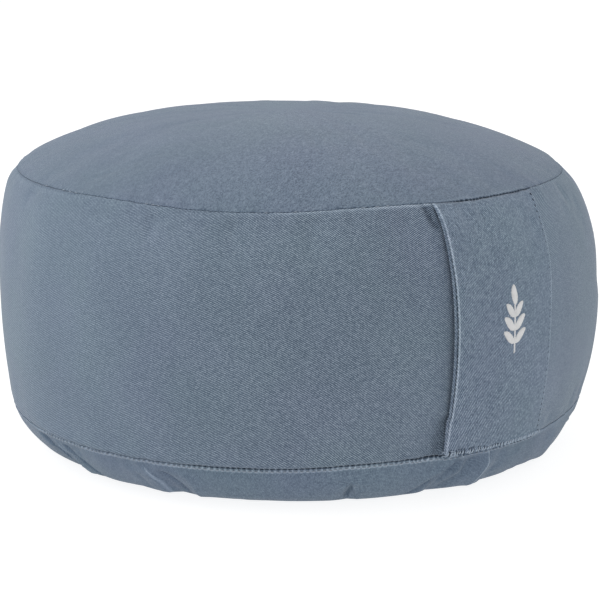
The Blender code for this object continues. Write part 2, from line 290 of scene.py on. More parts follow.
# Stretches of a seam that lie more open, or tighter, than the rest: compass angles, and the amount added
Stretch = namedtuple("Stretch", "from_deg to_deg amount")
TOP_OPEN = (Stretch(31, 53, 0.00060), Stretch(-66, -52, 0.00008), Stretch(55, 110, -0.00008),
            Stretch(150, 230, 0.00006))
LOW_OPEN = (Stretch(-58, -20, -0.00002), Stretch(-20, 6, 0.00032), Stretch(6, 21, 0.00024),
            Stretch(21, 30, 0.00060), Stretch(30, 52, 0.00020), Stretch(53, 110, -0.00020),
            Stretch(120, 250, 0.00010))
# Along these stretches the seam lips are painted paler, or less pale, from use and as a painted highlight
TOP_SEAM_WEAR_AND_LIGHT = (Stretch(-130, -46, -0.20), Stretch(-46, -24, 0.05), Stretch(-24, -14, -0.15),
            Stretch(-14, -4, 0.22), Stretch(-4, 14, 0.55), Stretch(14, 27, 0.95), Stretch(53, 130, 0.05),
            Stretch(130, 230, 0.20))
LOW_SEAM_WEAR_AND_LIGHT = (Stretch(-24, -14, 0.25), Stretch(5, 14, 0.3), Stretch(20, 27, 0.4), Stretch(28, 37, -0.6),
            Stretch(53, 112, -0.8), Stretch(-118, -58, -0.8))
# Where the low seam is drawn so tight that it lies flush
LOW_TIGHT = (Stretch(53, 112, 1.0), Stretch(-118, -58, 1.0))
STRETCH_EASE = 5.0

# How far the sewn seams rise over their even line: compass angle, top seam and low seam in millimetres
SEAM_WAVE = ((-120, 0.0, 0.2), (-75, 0.3, 0.3), (-56, 0.9, 0.4), (-45, 1.5, 0.5), (-37, 1.6, 0.5),
             (-30, 1.0, 0.5), (-19, -0.2, 0.5), (-9, -0.4, 0.4), (0, 0.0, 0.3), (9, 1.0, 1.3),
             (19, 1.2, 1.5), (26, 0.6, 1.0), (32, -0.3, 0.2), (45, -0.3, 0.1), (51, -0.3, 0.7),
             (60, 0.0, 1.8), (80, 0.0, 2.8), (110, 0.4, 0.8), (160, -0.3, 0.4), (205, 0.4, -0.2))
WAVE_EASE = 4.0
WAVE_SAMPLES = 5

# Stitches of a seam wander a little along it. A bite is how far one closes the seam, and a draw is how far
# it is felt in the cloth.
STITCH_DRIFT = 0.18
DRIFT_WAVES = (20, 90)
TOP_STITCH_SEED, LOW_STITCH_SEED = 3, 4
TOP_BITE, TOP_DRAW = 0.00042, 0.00060
LOW_BITE, LOW_DRAW = 0.00050, 0.00070
# The open seams: how uneven, how narrow at the least, and how far a stitch closes them
GAP_WAVES = (5, 40)
TOP_UNEVEN, LOW_UNEVEN = 0.45, 0.35
TOP_NARROWEST, LOW_NARROWEST, FLUSH_GAP = 0.00004, 0.00005, 0.00004
TOP_CLOSED, LOW_CLOSED = 0.9, 0.6
FLUSH_EDGE = 0.75

# Low relief and worn lines beside an edge: how high or how pale, how far from the edge, and how wide
Line = namedtuple("Line", "height at width")
OVERHANG = Line(1.0, 0.0, 0.0055)
RIM = Line(1.0, 0.0009, 0.0011)
BEHIND_RIM = Line(0.0005, 0.0, 0.004)
TOP_PINCH_REACH, LOW_PINCH_REACH, LOW_PINCH = 0.0016, 0.0012, 0.7
# The top seam is drawn in a little at both sides
SIDE_DEG, SIDE_SPREAD_DEG = 88, 24
SIDE_DRAW = Line(0.0014, 0.001, 0.007)
# Puckers run from each seam, short ones right beside it and long ones that begin a little way off
Puckers = namedtuple("Puckers", "short_seed short_reach long_seed long_reach long_height")
TOP_PUCKERS = Puckers(11, 0.006, 12, 0.018, 0.8)
LOW_PUCKERS = Puckers(13, 0.007, 14, 0.020, 0.9)
SHORT_WAVES, LONG_WAVES = (38, 120), (14, 46)
SHORT_HEIGHT = 0.4
LONG_START = 0.003

# The edges beside the seams, painted paler from use and as a painted highlight, a painted shade a little
# under the top lip, a painted highlight on the cloth right behind the handle's sewn edge, and how deep under
# the face all of it is painted
TOP_LIP = Line(1.0, 0.0008, 0.0006)
SHADE_UNDER_TOP_LIP = Line(0.07, 0.0065, 0.0045)
LOW_LIP = Line(1.0, 0.0009, 0.0007)
BAND_LIP_WEAR_AND_LIGHT, CROWN_LIP_WEAR_AND_LIGHT, LOW_LIP_WEAR_AND_LIGHT = 1.5, 0.45, 2.0
BEHIND_FROM, BEHIND_FULL, BEHIND_END, BEHIND_EASE, BEHIND_HIGHLIGHT = 0.0315, 0.002, 0.006, 0.014, 0.16
BEHIND_TOP, BEHIND_LOW = 0.004, 0.001
WEAR_AND_LIGHT_DEPTH = 0.0009
# The weave shows crisply near one compass angle, and fades to a share of that round the cushion
CRISP_DEG, CRISP_SPREAD_DEG, CRISP_LEAST = 8, 42, 0.40

# The filling presses on the cover in a cloth simulation: how coarse it is, and how far its result may go
CAGE_STEPS = 180
CAGE_SPACING = 0.0058
CAGE_FRAMES = 20
CAGE_PRESSURE = 4.0
CAGE_SLACK = -0.016
CAGE_UNEVEN = 0.0003
CAGE_PINNED = 0.004
CAGE_POLE = 0.012
CAGE_QUALITY = 6
CAGE_MASS = 0.3
CAGE_STIFFNESS = 18
CAGE_BENDING = 0.4
SWELL_LIMIT = 0.0014
CROWN_CALM = 0.22
CALM_EASE = 0.02
POLE_CALM = 0.02
FLOOR_CALM = 0.004


def lerp(low, high, part):
    return low + (high - low) * part


def eased(part):
    part = np.clip(part, 0.0, 1.0)
    return part * part * (3 - 2 * part)


def wrapped(degrees):
    return (degrees + 180) % 360 - 180


def hump(distance, middle, width):
    """1 at a middle, falling away on both sides of it over a width."""
    return np.exp(-((distance - middle) / width) ** 2)


def drawn(line, distance):
    """A low relief or a worn line at these distances from its edge."""
    return line.height * hump(distance, line.at, line.width)


def slopes(arc, left, right, sharpness):
    """1 on a fold's line, falling to 0 over the slope on each side of it."""
    return np.maximum(0, 1 - np.abs(arc) / np.where(arc < 0, left, right)) ** sharpness


def spaced(start, end, steps, crowd=1.0):
    """Even steps from start to end. A crowd above 1 draws them together towards the start."""
    return [lerp(start, end, (step / steps) ** crowd) for step in range(steps + 1)]


def bell(start, end, steps):
    """Steps from start to end that lie closer together at both ends."""
    return [lerp(start, end, (1 - math.cos(math.pi * step / steps)) / 2) for step in range(steps + 1)]


def ripple(compass, waves, seed):
    """A wavy line round the cushion, within about -1 to 1, with waves in this range of counts a turn."""
    draw = random.Random(seed)
    terms = 12
    total = np.zeros_like(compass)
    for term in range(terms):
        count = round(lerp(waves[0], waves[1], (term + draw.random()) / terms))
        total += draw.uniform(0.6, 1.0) * np.cos(np.radians(compass) * count + draw.uniform(0, FULL_TURN))
    return total / math.sqrt(terms)


def in_stretches(stretches, compass):
    total = np.zeros_like(compass)
    for stretch in stretches:
        middle, half = (stretch.from_deg + stretch.to_deg) / 2, (stretch.to_deg - stretch.from_deg) / 2
        inside = eased((half - np.abs(wrapped(compass - middle))) / STRETCH_EASE + 0.5)
        total += stretch.amount * inside
    return total


def in_handle(compass):
    """1 under the handle and 0 beside it."""
    return (np.abs(wrapped(compass - HANDLE_COMPASS)) < HANDLE_HALF_DEG).astype(float)


class Cover:
    """The outer face of the cushion, as one line over crown, band, foot and base, and what shapes it."""
    SAMPLES = 700
    SLOPE = 0.0004

    def __init__(self, form, seams):
        self.form, self.seams = form, seams
        out = np.linspace(0, 1, self.SAMPLES)
        crown = (form.top_seam_radius * out,
                 form.top_seam_height + form.crown_rise * (1 - out ** form.crown_fullness))
        band_height = lerp(form.top_seam_height, form.low_seam_height, out)
        band = (self.band_radius(band_height), band_height)
        foot = (lerp(form.low_seam_radius, form.flat_radius, out),
                form.low_seam_height * (1 - out) ** form.foot_fullness)
        base = (lerp(form.flat_radius, 0, out), out * 0)
        lines = [crown, band, foot, base]
        runs = [np.concatenate([[0], np.cumsum(np.hypot(np.diff(r), np.diff(z)))]) for r, z in lines]
        starts = np.cumsum([-runs[0][-1]] + [run[-1] for run in runs[:-1]])
        self.crown_length, self.band_length = runs[0][-1], runs[1][-1]
        self.foot_length, self.base_radius = runs[2][-1], runs[3][-1]
        self.first, self.last = -self.crown_length, self.band_length + self.foot_length + self.base_radius
        self.girth = np.concatenate([start + run for start, run in zip(starts, runs)])
        self.radius = np.concatenate([line[0] for line in lines])
        self.height = np.concatenate([line[1] for line in lines])
        slopes = [np.gradient(np.array(line), run, axis=1) for line, run in zip(lines, runs)]
        facing = np.concatenate([[-slope[1], slope[0]] for slope in slopes], axis=1)
        self.facing = self.seams_shared(facing / np.hypot(*facing))
        self.swell = None

    def section(self, girth):
        """Radius and height of the even cushion at a girth."""
        return np.interp(girth, self.girth, self.radius), np.interp(girth, self.girth, self.height)

    def compass_at(self, across, girth):
        """Compass angle of a place that lies so far across from the handle's middle."""
        return HANDLE_COMPASS + np.degrees(np.asarray(across) / self.section(girth)[0])

    def off_widest(self, height):
        """How far a height is on the way from the widest part to the top seam, and to the low seam."""
        form = self.form
        up = (height - form.widest_height) / (form.top_seam_height - form.widest_height)
        down = (form.widest_height - height) / (form.widest_height - form.low_seam_height)
        return np.clip(up, 0, 1), np.clip(down, 0, 1)

    def band_radius(self, height):
        form = self.form
        up, down = self.off_widest(height)
        upper = lerp(form.widest_radius, form.top_seam_radius, up ** form.shoulder_fullness)
        lower = lerp(form.widest_radius, form.low_seam_radius, down ** form.hip_fullness)
        return np.where(height > form.widest_height, upper, lower)

    def seams_shared(self, facing):
        """Turns the outward directions near each seam to one that both sides share."""
        for seam, at in enumerate((0.0, self.band_length)):
            corner = self.SAMPLES * (seam + 1)
            shared = facing[:, corner - 1] + facing[:, corner]
            shared = shared / np.hypot(*shared)
            near = eased(1 - np.abs(self.girth - at) / self.seams.ease)
            facing = facing + (shared[:, None] - facing) * near
        return facing / np.hypot(*facing)

    def stray(self, amounts, compass):
        """How far once and twice a turn an unevenness reaches at these compass angles."""
        turn = np.radians(compass)
        once, twice = np.sin(turn), np.sin(2 * turn)
        return amounts.lean * once + amounts.skew * twice + amounts.oval * np.cos(2 * turn)

    def seam_pull(self, compass, height):
        """How far the seams' ovals draw the cushion out at a height."""
        form = self.form
        up, down = self.off_widest(height)
        under = 1 - np.clip(height / form.low_seam_height, 0, 1) ** (1 / form.foot_fullness)
        top, low = self.stray(TOP_SEAM_OUT, compass), self.stray(LOW_SEAM_OUT, compass)
        foot = lerp(low, self.stray(FLAT_EDGE_OUT, compass), under)
        pull = top * up ** form.shoulder_fullness + low * down ** form.hip_fullness
        return np.where(height < form.low_seam_height, foot, pull)

    def seam_rise(self, compass, height):
        """How far the seams' waves lift the cushion at a height. The floor stays level."""
        form = self.form
        angles, *waves = np.array(SEAM_WAVE).T
        near = [compass + shift for shift in np.linspace(-WAVE_EASE, WAVE_EASE, WAVE_SAMPLES)]
        rises = []
        for seam, wave in zip((TOP_SEAM_UP, LOW_SEAM_UP), waves):
            even = np.mean([np.interp(angle, angles, wave, period=360) for angle in near], axis=0)
            rises.append(self.stray(seam, compass) + MM * even)
        top, low = rises
        up = np.clip((height - form.low_seam_height) / (form.top_seam_height - form.low_seam_height), 0, 1)
        below = np.clip(height / form.low_seam_height, 0, 1)
        return np.where(height <= form.low_seam_height, low * below, lerp(low, top, up))

    def tuck_push(self, compass, height):
        """How far the foot's main tucks push the cloth out."""
        down = 1 - np.clip(height / self.form.low_seam_height, 0, 1)
        push = np.zeros_like(compass)
        for tuck in TUCKS:
            line = lerp(tuck.seam_deg, tuck.floor_deg, down)
            arc = self.form.low_seam_radius * np.radians(wrapped(compass - line))
            nearness = slopes(arc, tuck.left, tuck.right, TUCK_SHARPNESS)
            push += tuck.rise * nearness * eased((down - tuck.start) / TUCK_GROWTH)
        return push

    def folds(self, compass, girth, radius):
        """How far the fine folds push the cloth out, and how they are painted: crests paler from use and
        with a painted highlight, hollows darker with painted shade.
        """
        push, worn = np.zeros_like(compass), np.zeros_like(compass)
        for fold in FOLDS:
            line = np.array(sorted(fold.line, key=lambda place: place[1]))
            seam = 0.0 if fold.seam == "top" else self.band_length
            run = (girth - seam) / MM
            part = (run - line[0, 1]) / (line[-1, 1] - line[0, 1])
            ends = eased(part / FOLD_ENDS) * eased((1 - part) / FOLD_ENDS)
            arc = radius * np.radians(wrapped(compass - np.interp(run, line[:, 1], line[:, 0]))) / MM
            nearness = slopes(arc, fold.left, fold.right, FOLD_SHARPNESS)
            push += fold.rise * MM * nearness * ends
            reach = CREST_WIDTH if fold.rise > 0 else fold.left / 2
            # Painted shade in each hollow, and a pale line from use and painted highlight on each crest
            shade = FOLD_SHADE * min(fold.rise, 0) * nearness
            worn += (fold.worn * hump(arc, 0, reach) + shade) * ends
        return push, worn

    def along_folds(self, compass, girth):
        """Draws the mesh's columns over the foot along the fold lines, so that each crest keeps its edge."""
        compass, run = wrapped(compass), (girth - self.band_length) / MM
        lines = [np.array(fold.line) for fold in FOLDS if fold.seam == "low"]
        column = 360 / FOLD_COLUMNS
        starts = [round(line[0, 0] / column) * column for line in lines]
        foot = run > 0
        for level in np.unique(run[foot]):
            ends = [np.interp(level, line[:, 1], line[:, 0]) for line in lines]
            pairs = sorted([(wrapped(start), end - start) for start, end in zip(starts, ends)]
                           + [(still, 0.0) for still in STILL_DEG])
            near = foot & (run == level)
            compass[near] += np.interp(compass[near], *zip(*pairs), period=360)
        return compass

    def stitch(self, compass, radius, pitch, width, seed):
        """1 where a stitch draws a seam together, falling to 0 between stitches."""
        count = round(FULL_TURN * radius / pitch)
        turn = np.radians(compass) / FULL_TURN * count + STITCH_DRIFT * ripple(compass, DRIFT_WAVES, seed)
        off = (turn - np.round(turn)) * FULL_TURN * radius / count
        return hump(off, 0, width)

    def stitches(self, compass, top_width, low_width):
        """The stitches of the top seam and of the low seam."""
        form, seams = self.form, self.seams
        return (self.stitch(compass, form.top_seam_radius, seams.top_pitch, top_width, TOP_STITCH_SEED),
                self.stitch(compass, form.low_seam_radius, seams.low_pitch, low_width, LOW_STITCH_SEED))

    def seam_gaps(self, compass):
        """Half the open width of the top seam and of the low seam."""
        seams = self.seams
        top, low = self.stitches(compass, TOP_BITE, LOW_BITE)
        top_open = seams.top_gap * (1 + TOP_UNEVEN * ripple(compass, GAP_WAVES, seed=5))
        top_open = np.maximum(top_open + in_stretches(TOP_OPEN, compass), TOP_NARROWEST)
        low_open = seams.low_gap * (1 + LOW_UNEVEN * ripple(compass, GAP_WAVES, seed=6))
        low_open = np.maximum(low_open + in_stretches(LOW_OPEN, compass), LOW_NARROWEST)
        flush = in_stretches(LOW_TIGHT, compass)
        return top_open * (1 - TOP_CLOSED * top), lerp(low_open * (1 - LOW_CLOSED * low), FLUSH_GAP, flush)

    def relief(self, compass, girth):
        """How far seams, stitches and puckers push the cloth along its own outward direction."""
        seams = self.seams
        from_top, from_low = np.abs(girth), np.abs(girth - self.band_length)
        top, low = self.stitches(compass, TOP_DRAW, LOW_DRAW)
        push = -seams.pinch * top * np.exp(-from_top / TOP_PINCH_REACH)
        above, below = girth < self.band_length, girth >= self.band_length
        raised = 1 - in_stretches(LOW_TIGHT, compass)
        push += np.where(above, raised * seams.overhang * drawn(OVERHANG, from_low), 0)
        pinched = LOW_PINCH * raised * seams.pinch * low * np.exp(-from_low / LOW_PINCH_REACH)
        push -= np.where(above, pinched, 0)
        push += np.where(below, seams.bead * lerp(0.25, 1.15 - low, raised) * drawn(RIM, from_low), 0)
        push -= np.where(below, raised * drawn(BEHIND_RIM, from_low), 0)
        push -= hump(np.abs(wrapped(compass)), SIDE_DEG, SIDE_SPREAD_DEG) * drawn(SIDE_DRAW, girth)
        for off, puckers in ((from_top, TOP_PUCKERS), (from_low, LOW_PUCKERS)):
            short = ripple(compass, SHORT_WAVES, puckers.short_seed) * np.exp(-off / puckers.short_reach)
            long = ripple(compass, LONG_WAVES, puckers.long_seed) * np.exp(-off / puckers.long_reach)
            long = long * (1 - np.exp(-off / LONG_START))
            push += seams.pucker * (SHORT_HEIGHT * short + puckers.long_height * long)
        return push

    def spread(self, compass, girth):
        """Moves the cloth beside each seam away from it by half the seam's open width."""
        top_gap, low_gap = self.seam_gaps(compass)
        for at, gap in ((0.0, top_gap), (self.band_length, low_gap)):
            off = girth - at
            girth = girth + np.sign(off) * gap * (1 - eased(np.abs(off) / self.seams.ease))
        return girth

    def swelling(self, compass, girth):
        """What the cloth simulation found at these places."""
        if self.swell is None:
            return np.zeros_like(compass)
        girths, offsets = self.swell
        row = np.clip(np.interp(girth, girths, np.arange(len(girths))), 0, len(girths) - 1.0001)
        column = (compass % 360) / 360 * CAGE_STEPS
        low_row, low_column = row.astype(int), column.astype(int) % CAGE_STEPS
        next_column = (low_column + 1) % CAGE_STEPS
        across, down = eased(column - column.astype(int)), eased(row - low_row)
        near = lerp(offsets[low_row, low_column], offsets[low_row, next_column], across)
        far = lerp(offsets[low_row + 1, low_column], offsets[low_row + 1, next_column], across)
        return lerp(near, far, down) * lerp(CROWN_CALM, 1.0, eased(girth / CALM_EASE + 0.5))

    def points(self, compass, girth, depth, plain=False):
        """Places on or under the cover, as an array of x, y, z."""
        compass, girth, depth = (np.asarray(values, float) for values in (compass, girth, depth))
        radius, height = self.section(girth)
        # The flat base stays level and a pole stays a point, so both are left as they are
        free = np.clip(radius / POLE_CALM, 0, 1) * eased(height / FLOOR_CALM)
        # Where the low seam lies flush, its two edges turn in less deeply
        edge = (np.abs(girth - self.band_length) < self.seams.ease / 2) & (depth > 0)
        depth = depth * (1 - FLUSH_EDGE * in_stretches(LOW_TIGHT, compass) * edge)
        push = np.zeros_like(girth)
        if not plain:
            push = (self.relief(compass, girth) + self.folds(compass, girth, radius)[0]) * free
            girth = self.spread(compass, girth)
            radius, height = self.section(girth)
            push += self.swelling(compass, girth) * free
        out, up = (np.interp(girth, self.girth, line) for line in self.facing)
        face_out = np.clip(radius / self.form.top_seam_radius, 0, 1)
        crown = 1 - face_out ** self.form.crown_fullness
        pull = face_out * (self.seam_pull(compass, height) + self.tuck_push(compass, height))
        rise = (1 - crown) * self.seam_rise(compass, height)
        reach = radius + out * (push - depth) + pull
        angle = np.radians(compass - HANDLE_COMPASS)
        drift = CROWN_DRIFT * crown * np.clip(height / self.form.top_seam_height, 0, 1)
        lean = math.radians(90 - HANDLE_COMPASS)
        x = reach * np.sin(angle) + drift * math.sin(lean)
        y = -reach * np.cos(angle) - drift * math.cos(lean)
        return np.stack([x, y, height + up * (push - depth) + rise], axis=-1)

    def places(self, compass, girth, above):
        """Matrices that stand on the cover: X along the compass, Y up the cloth and Z out of it."""
        compass, girth, above = np.broadcast_arrays(*(np.asarray(v, float) for v in (compass, girth, above)))
        step = np.degrees(self.SLOPE / self.form.widest_radius)
        here = self.points(compass, girth, -above, plain=True)
        along = self.points(compass + step, girth, -above, plain=True) - here
        upward = self.points(compass, girth - self.SLOPE, -above, plain=True) - here
        push = self.points(compass, girth, -above)
        made = []
        for origin, x_axis, y_axis in zip(push, along, upward):
            x_axis, y_axis = Vector(x_axis).normalized(), Vector(y_axis).normalized()
            z_axis = x_axis.cross(y_axis).normalized()
            y_axis = z_axis.cross(x_axis)
            turn = Matrix((x_axis, y_axis, z_axis)).transposed().to_4x4()
            made.append(Matrix.Translation(Vector(origin)) @ turn)
        return made


# Stations are points of a piece's section: girth, depth under the face, and cuts that refine the ring
Station = namedtuple("Station", "girth depth cuts")
LIP_CUTS = 4
LIP_ROUNDS = 4
WALL_SHARE = 0.6
RUNS_PAST_ROLL = (0.0007, 0.0016, 0.0026)


def sewn_edge(at, side, roll, floor):
    """Stations of a sewn edge, from the seam's floor up its wall, round its roll and on to the face."""
    made = [Station(at + side * HAIR, floor + roll, 0),
            Station(at + side * HAIR, WALL_SHARE * floor + roll, LIP_CUTS)]
    for step in range(LIP_ROUNDS + 1):
        turn = math.pi / 2 * (1 - step / LIP_ROUNDS)
        run = roll * (1 - math.sin(turn)) + HAIR
        made.append(Station(at + side * run, roll * (1 - math.cos(turn)), LIP_CUTS))
    for run in RUNS_PAST_ROLL:
        made.append(Station(at + side * (roll + run), 0.0, LIP_CUTS))
    return made


def rings(girths, depth=0.0, cuts=0):
    return [Station(girth, depth, cuts) for girth in girths]


def turned(name, cover, stations, steps):
    """A round piece: its section is spun, refined where its stations ask for it, and laid over the cover."""
    shape = bmesh.new()
    layers = [shape.verts.layers.float.new(layer) for layer in ("girth", "depth", "cuts", "ring")]
    verts = []
    for ring, station in enumerate(stations):
        radius, height = cover.section(station.girth)
        verts.append(shape.verts.new((0, -radius, height - station.depth)))
        for layer, value in zip(layers, (*station, ring)):
            verts[-1][layer] = value
    edges = [shape.edges.new(pair) for pair in zip(verts, verts[1:])]
    bmesh.ops.spin(shape, geom=verts + edges, cent=(0, 0, 0), axis=(0, 0, 1), angle=FULL_TURN, steps=steps,
                   use_merge=True, use_duplicate=False)
    bmesh.ops.remove_doubles(shape, verts=shape.verts, dist=WELD)
    cuts_layer, ring_layer = layers[2], layers[3]
    for cuts in sorted({station.cuts for station in stations if station.cuts}):
        round_edges = [edge for edge in shape.edges
                       if edge.verts[0][ring_layer] == edge.verts[1][ring_layer]
                       and edge.verts[0][cuts_layer] == cuts]
        bmesh.ops.subdivide_edges(shape, edges=round_edges, cuts=cuts, use_grid_fill=True)
    return laid_on(name, cover, shape)


def mesh_of(name, shape):
    """Ends a bmesh as a mesh."""
    mesh = bpy.data.meshes.new(name)
    shape.to_mesh(mesh)
    shape.free()
    return mesh


def in_scene(name, data):
    """Brings a mesh, a lamp or a camera into the scene."""
    made = bpy.data.objects.new(name, data)
    bpy.context.scene.collection.objects.link(made)
    return made


def laid_on(name, cover, shape):
    """Turns a spun shape into a mesh object and moves its points on to the cover."""
    bmesh.ops.recalc_face_normals(shape, faces=shape.faces)
    mesh = mesh_of(name, shape)
    points = coordinates(mesh)
    girth, depth = attribute(mesh, "girth"), attribute(mesh, "depth")
    compass = HANDLE_COMPASS + np.degrees(np.arctan2(points[:, 0], -points[:, 1]))
    compass = cover.along_folds(compass, girth)
    mesh.vertices.foreach_set("co", cover.points(compass, girth, depth).astype(np.float32).ravel())
    # One attribute carries paleness from use, painted highlights and painted shade
    set_attribute(mesh, "wear", cloth_wear_and_painted_light(cover, compass, girth) * (depth < WEAR_AND_LIGHT_DEPTH))
    crisp = hump(wrapped(compass - CRISP_DEG), 0, CRISP_SPREAD_DEG)
    set_attribute(mesh, "crisp", lerp(CRISP_LEAST, 1.0, crisp))
    mesh.update()
    mesh.shade_smooth()
    return in_scene(name, mesh), compass, girth


def cloth_wear_and_painted_light(cover, compass, girth):
    """How much paler the cloth is painted: beside the seams from use and as a painted highlight, beside the
    handle's sewn edge as a painted highlight, and on the folds' crests, less painted shade under the top lip
    and in the folds' hollows.
    """
    off_low, radius = girth - cover.band_length, cover.section(girth)[0]
    band_lip = in_stretches(TOP_SEAM_WEAR_AND_LIGHT, compass) * (girth > 0) * (1 - in_handle(compass))
    crown_lip = CROWN_LIP_WEAR_AND_LIGHT * in_handle(compass) * (girth < 0)
    wear = (BAND_LIP_WEAR_AND_LIGHT * band_lip + crown_lip) * drawn(TOP_LIP, np.abs(girth))
    # Painted shade a little under the top lip
    wear -= drawn(SHADE_UNDER_TOP_LIP, girth)
    low_lip = LOW_LIP_WEAR_AND_LIGHT * (1 + in_stretches(LOW_SEAM_WEAR_AND_LIGHT, compass)) * (off_low > 0)
    wear += low_lip * drawn(LOW_LIP, off_low)
    # A painted highlight on the band right beside the handle's sewn edge
    behind = radius * np.radians(wrapped(compass - HANDLE_COMPASS)) - BEHIND_FROM
    beside = eased(behind / BEHIND_FULL) * (1 - eased((behind - BEHIND_END) / BEHIND_EASE))
    wear += BEHIND_HIGHLIGHT * beside * (girth > BEHIND_TOP) * (off_low < -BEHIND_LOW)
    return wear * cover.seams.lip_wear_and_painted_light + cover.folds(compass, girth, radius)[1]


def coordinates(mesh):
    values = np.zeros(len(mesh.vertices) * 3, np.float32)
    mesh.vertices.foreach_get("co", values)
    return values.reshape(-1, 3).astype(float)


def attribute(mesh, name):
    values = np.zeros(len(mesh.vertices), np.float32)
    mesh.attributes[name].data.foreach_get("value", values)
    return values.astype(float)


def set_attribute(mesh, name, values):
    layer = mesh.attributes.get(name) or mesh.attributes.new(name, "FLOAT", "POINT")
    layer.data.foreach_set("value", values.astype(np.float32))


def drop_layers(mesh):
    for name in ("girth", "depth", "cuts", "ring"):
        if name in mesh.attributes:
            mesh.attributes.remove(mesh.attributes[name])


def loops_of(mesh):
    """For each corner of each face, its vertex, and the first corner of its face."""
    corners = np.zeros(len(mesh.loops), np.int32)
    mesh.loops.foreach_get("vertex_index", corners)
    totals = np.zeros(len(mesh.polygons), np.int32)
    mesh.polygons.foreach_get("loop_total", totals)
    starts = np.repeat(np.cumsum(totals) - totals, totals)
    return corners, corners[starts]


def set_uv(mesh, across, up):
    layer = mesh.uv_layers.get("cloth") or mesh.uv_layers.new(name="cloth")
    layer.data.foreach_set("uv", np.stack([across, up], axis=-1).astype(np.float32).ravel())


def band_uv(mesh, cover, compass, girth):
    """Metres round and up the band. Its ends meet behind the handle."""
    corners, first = loops_of(mesh)
    turn = (compass - HANDLE_COMPASS) % 360
    turn = turn[first] + wrapped(turn[corners] - turn[first])
    set_uv(mesh, np.radians(turn) * cover.form.widest_radius, -girth[corners])


def disc_uv(mesh, compass, run):
    """Metres across a round panel, for a cut with the grain straight through its middle."""
    corners, _ = loops_of(mesh)
    angle = np.radians(compass - HANDLE_COMPASS)
    set_uv(mesh, (run * np.sin(angle))[corners], (run * np.cos(angle))[corners])


# The cloth simulation: the filling presses on the whole cover, and the seams hold
def cage_girths(cover):
    """Girths of the cage's rows, even over the crown, the band and the foot."""
    foot_end = cover.band_length + cover.foot_length
    parts = ((cover.first + CAGE_POLE, 0.0), (0.0, cover.band_length), (cover.band_length, foot_end))
    girths = []
    for start, end in parts:
        steps = round((end - start) / CAGE_SPACING)
        girths += list(np.linspace(start, end, steps + 1)[:-1])
    return np.array(girths + [foot_end])


def simulated_swell(cover):
    """How unevenly the filling swells the cloth, as girths and an array of offsets by girth and compass."""
    girths = cage_girths(cover)
    rows = len(girths)
    shape = bmesh.new()
    bmesh.ops.create_grid(shape, x_segments=CAGE_STEPS, y_segments=rows - 1, size=0.5)
    compass = np.array([round((vert.co.x + 0.5) * CAGE_STEPS) * 360 / CAGE_STEPS for vert in shape.verts])
    row = np.array([round((vert.co.y + 0.5) * (rows - 1)) for vert in shape.verts])
    girth = girths[row]
    rough = CAGE_UNEVEN * ripple(compass, (6, 30), seed=21) * ripple(girth * 400, (1, 6), seed=22)
    places = cover.points(compass, girth, -rough, plain=True)
    for vert, place in zip(shape.verts, places):
        vert.co = place
    bmesh.ops.remove_doubles(shape, verts=shape.verts, dist=CAGE_WELD)
    bmesh.ops.holes_fill(shape, edges=shape.edges, sides=0)
    bmesh.ops.recalc_face_normals(shape, faces=shape.faces)
    cage = in_scene("cage", mesh_of("cage", shape))
    before = coordinates(cage.data)
    index = nearest(before, places)
    seam = np.minimum(np.abs(girth), np.abs(girth - cover.band_length)) < CAGE_PINNED
    pinned = seam | (girth > girths[-1] - CAGE_PINNED)
    held = cage.vertex_groups.new(name="held")
    held.add([int(place) for place in index[pinned]], 1.0, "REPLACE")
    fullness = cage.vertex_groups.new(name="fullness")
    slack = 0.5 + 0.5 * ripple(compass, (4, 26), seed=31) * ripple(girth * 500, (1, 5), seed=32)
    for place, value in zip(index, np.clip(slack, 0, 1)):
        fullness.add([int(place)], float(value), "REPLACE")
    press_on(cage)
    scene = bpy.context.scene
    for step in range(1, CAGE_FRAMES + 1):
        scene.frame_set(step)
    result = cage.evaluated_get(bpy.context.evaluated_depsgraph_get()).to_mesh()
    moved = coordinates(result) - before
    scene.frame_set(1)
    out, up = (np.interp(girth, cover.girth, line) for line in cover.facing)
    angle = np.radians(compass - HANDLE_COMPASS)
    normal = np.stack([out * np.sin(angle), -out * np.cos(angle), up], axis=-1)
    table = np.zeros((rows, CAGE_STEPS + 1))
    table[row, np.round(compass / 360 * CAGE_STEPS).astype(int)] = (moved[index] * normal).sum(axis=1)
    table = table[:, :CAGE_STEPS]
    bpy.data.objects.remove(cage)
    # The even swell is in the form already, so only its unevenness is kept
    table -= table.mean(axis=1, keepdims=True)
    return girths, np.clip(table, -SWELL_LIMIT, SWELL_LIMIT)


def press_on(cage):
    """Makes the cage a cloth that the filling presses on, without gravity."""
    cloth = cage.modifiers.new("Filling", "CLOTH")
    settings = cloth.settings
    settings.quality = CAGE_QUALITY
    settings.mass = CAGE_MASS
    settings.use_pressure = True
    settings.uniform_pressure_force = CAGE_PRESSURE
    settings.tension_stiffness = settings.compression_stiffness = CAGE_STIFFNESS
    settings.bending_stiffness = CAGE_BENDING
    settings.shrink_min = CAGE_SLACK
    settings.shrink_max = 0.0
    settings.vertex_group_mass = "held"
    settings.vertex_group_shrink = "fullness"
    settings.effector_weights.gravity = 0.0
    cloth.point_cache.frame_start, cloth.point_cache.frame_end = 1, CAGE_FRAMES


def nearest(points, wanted):
    """The index of the mesh point at each wanted place."""
    tree = KDTree(len(points))
    for index, point in enumerate(points):
        tree.insert(point, index)
    tree.balance()
    return np.array([tree.find(place)[1] for place in wanted])


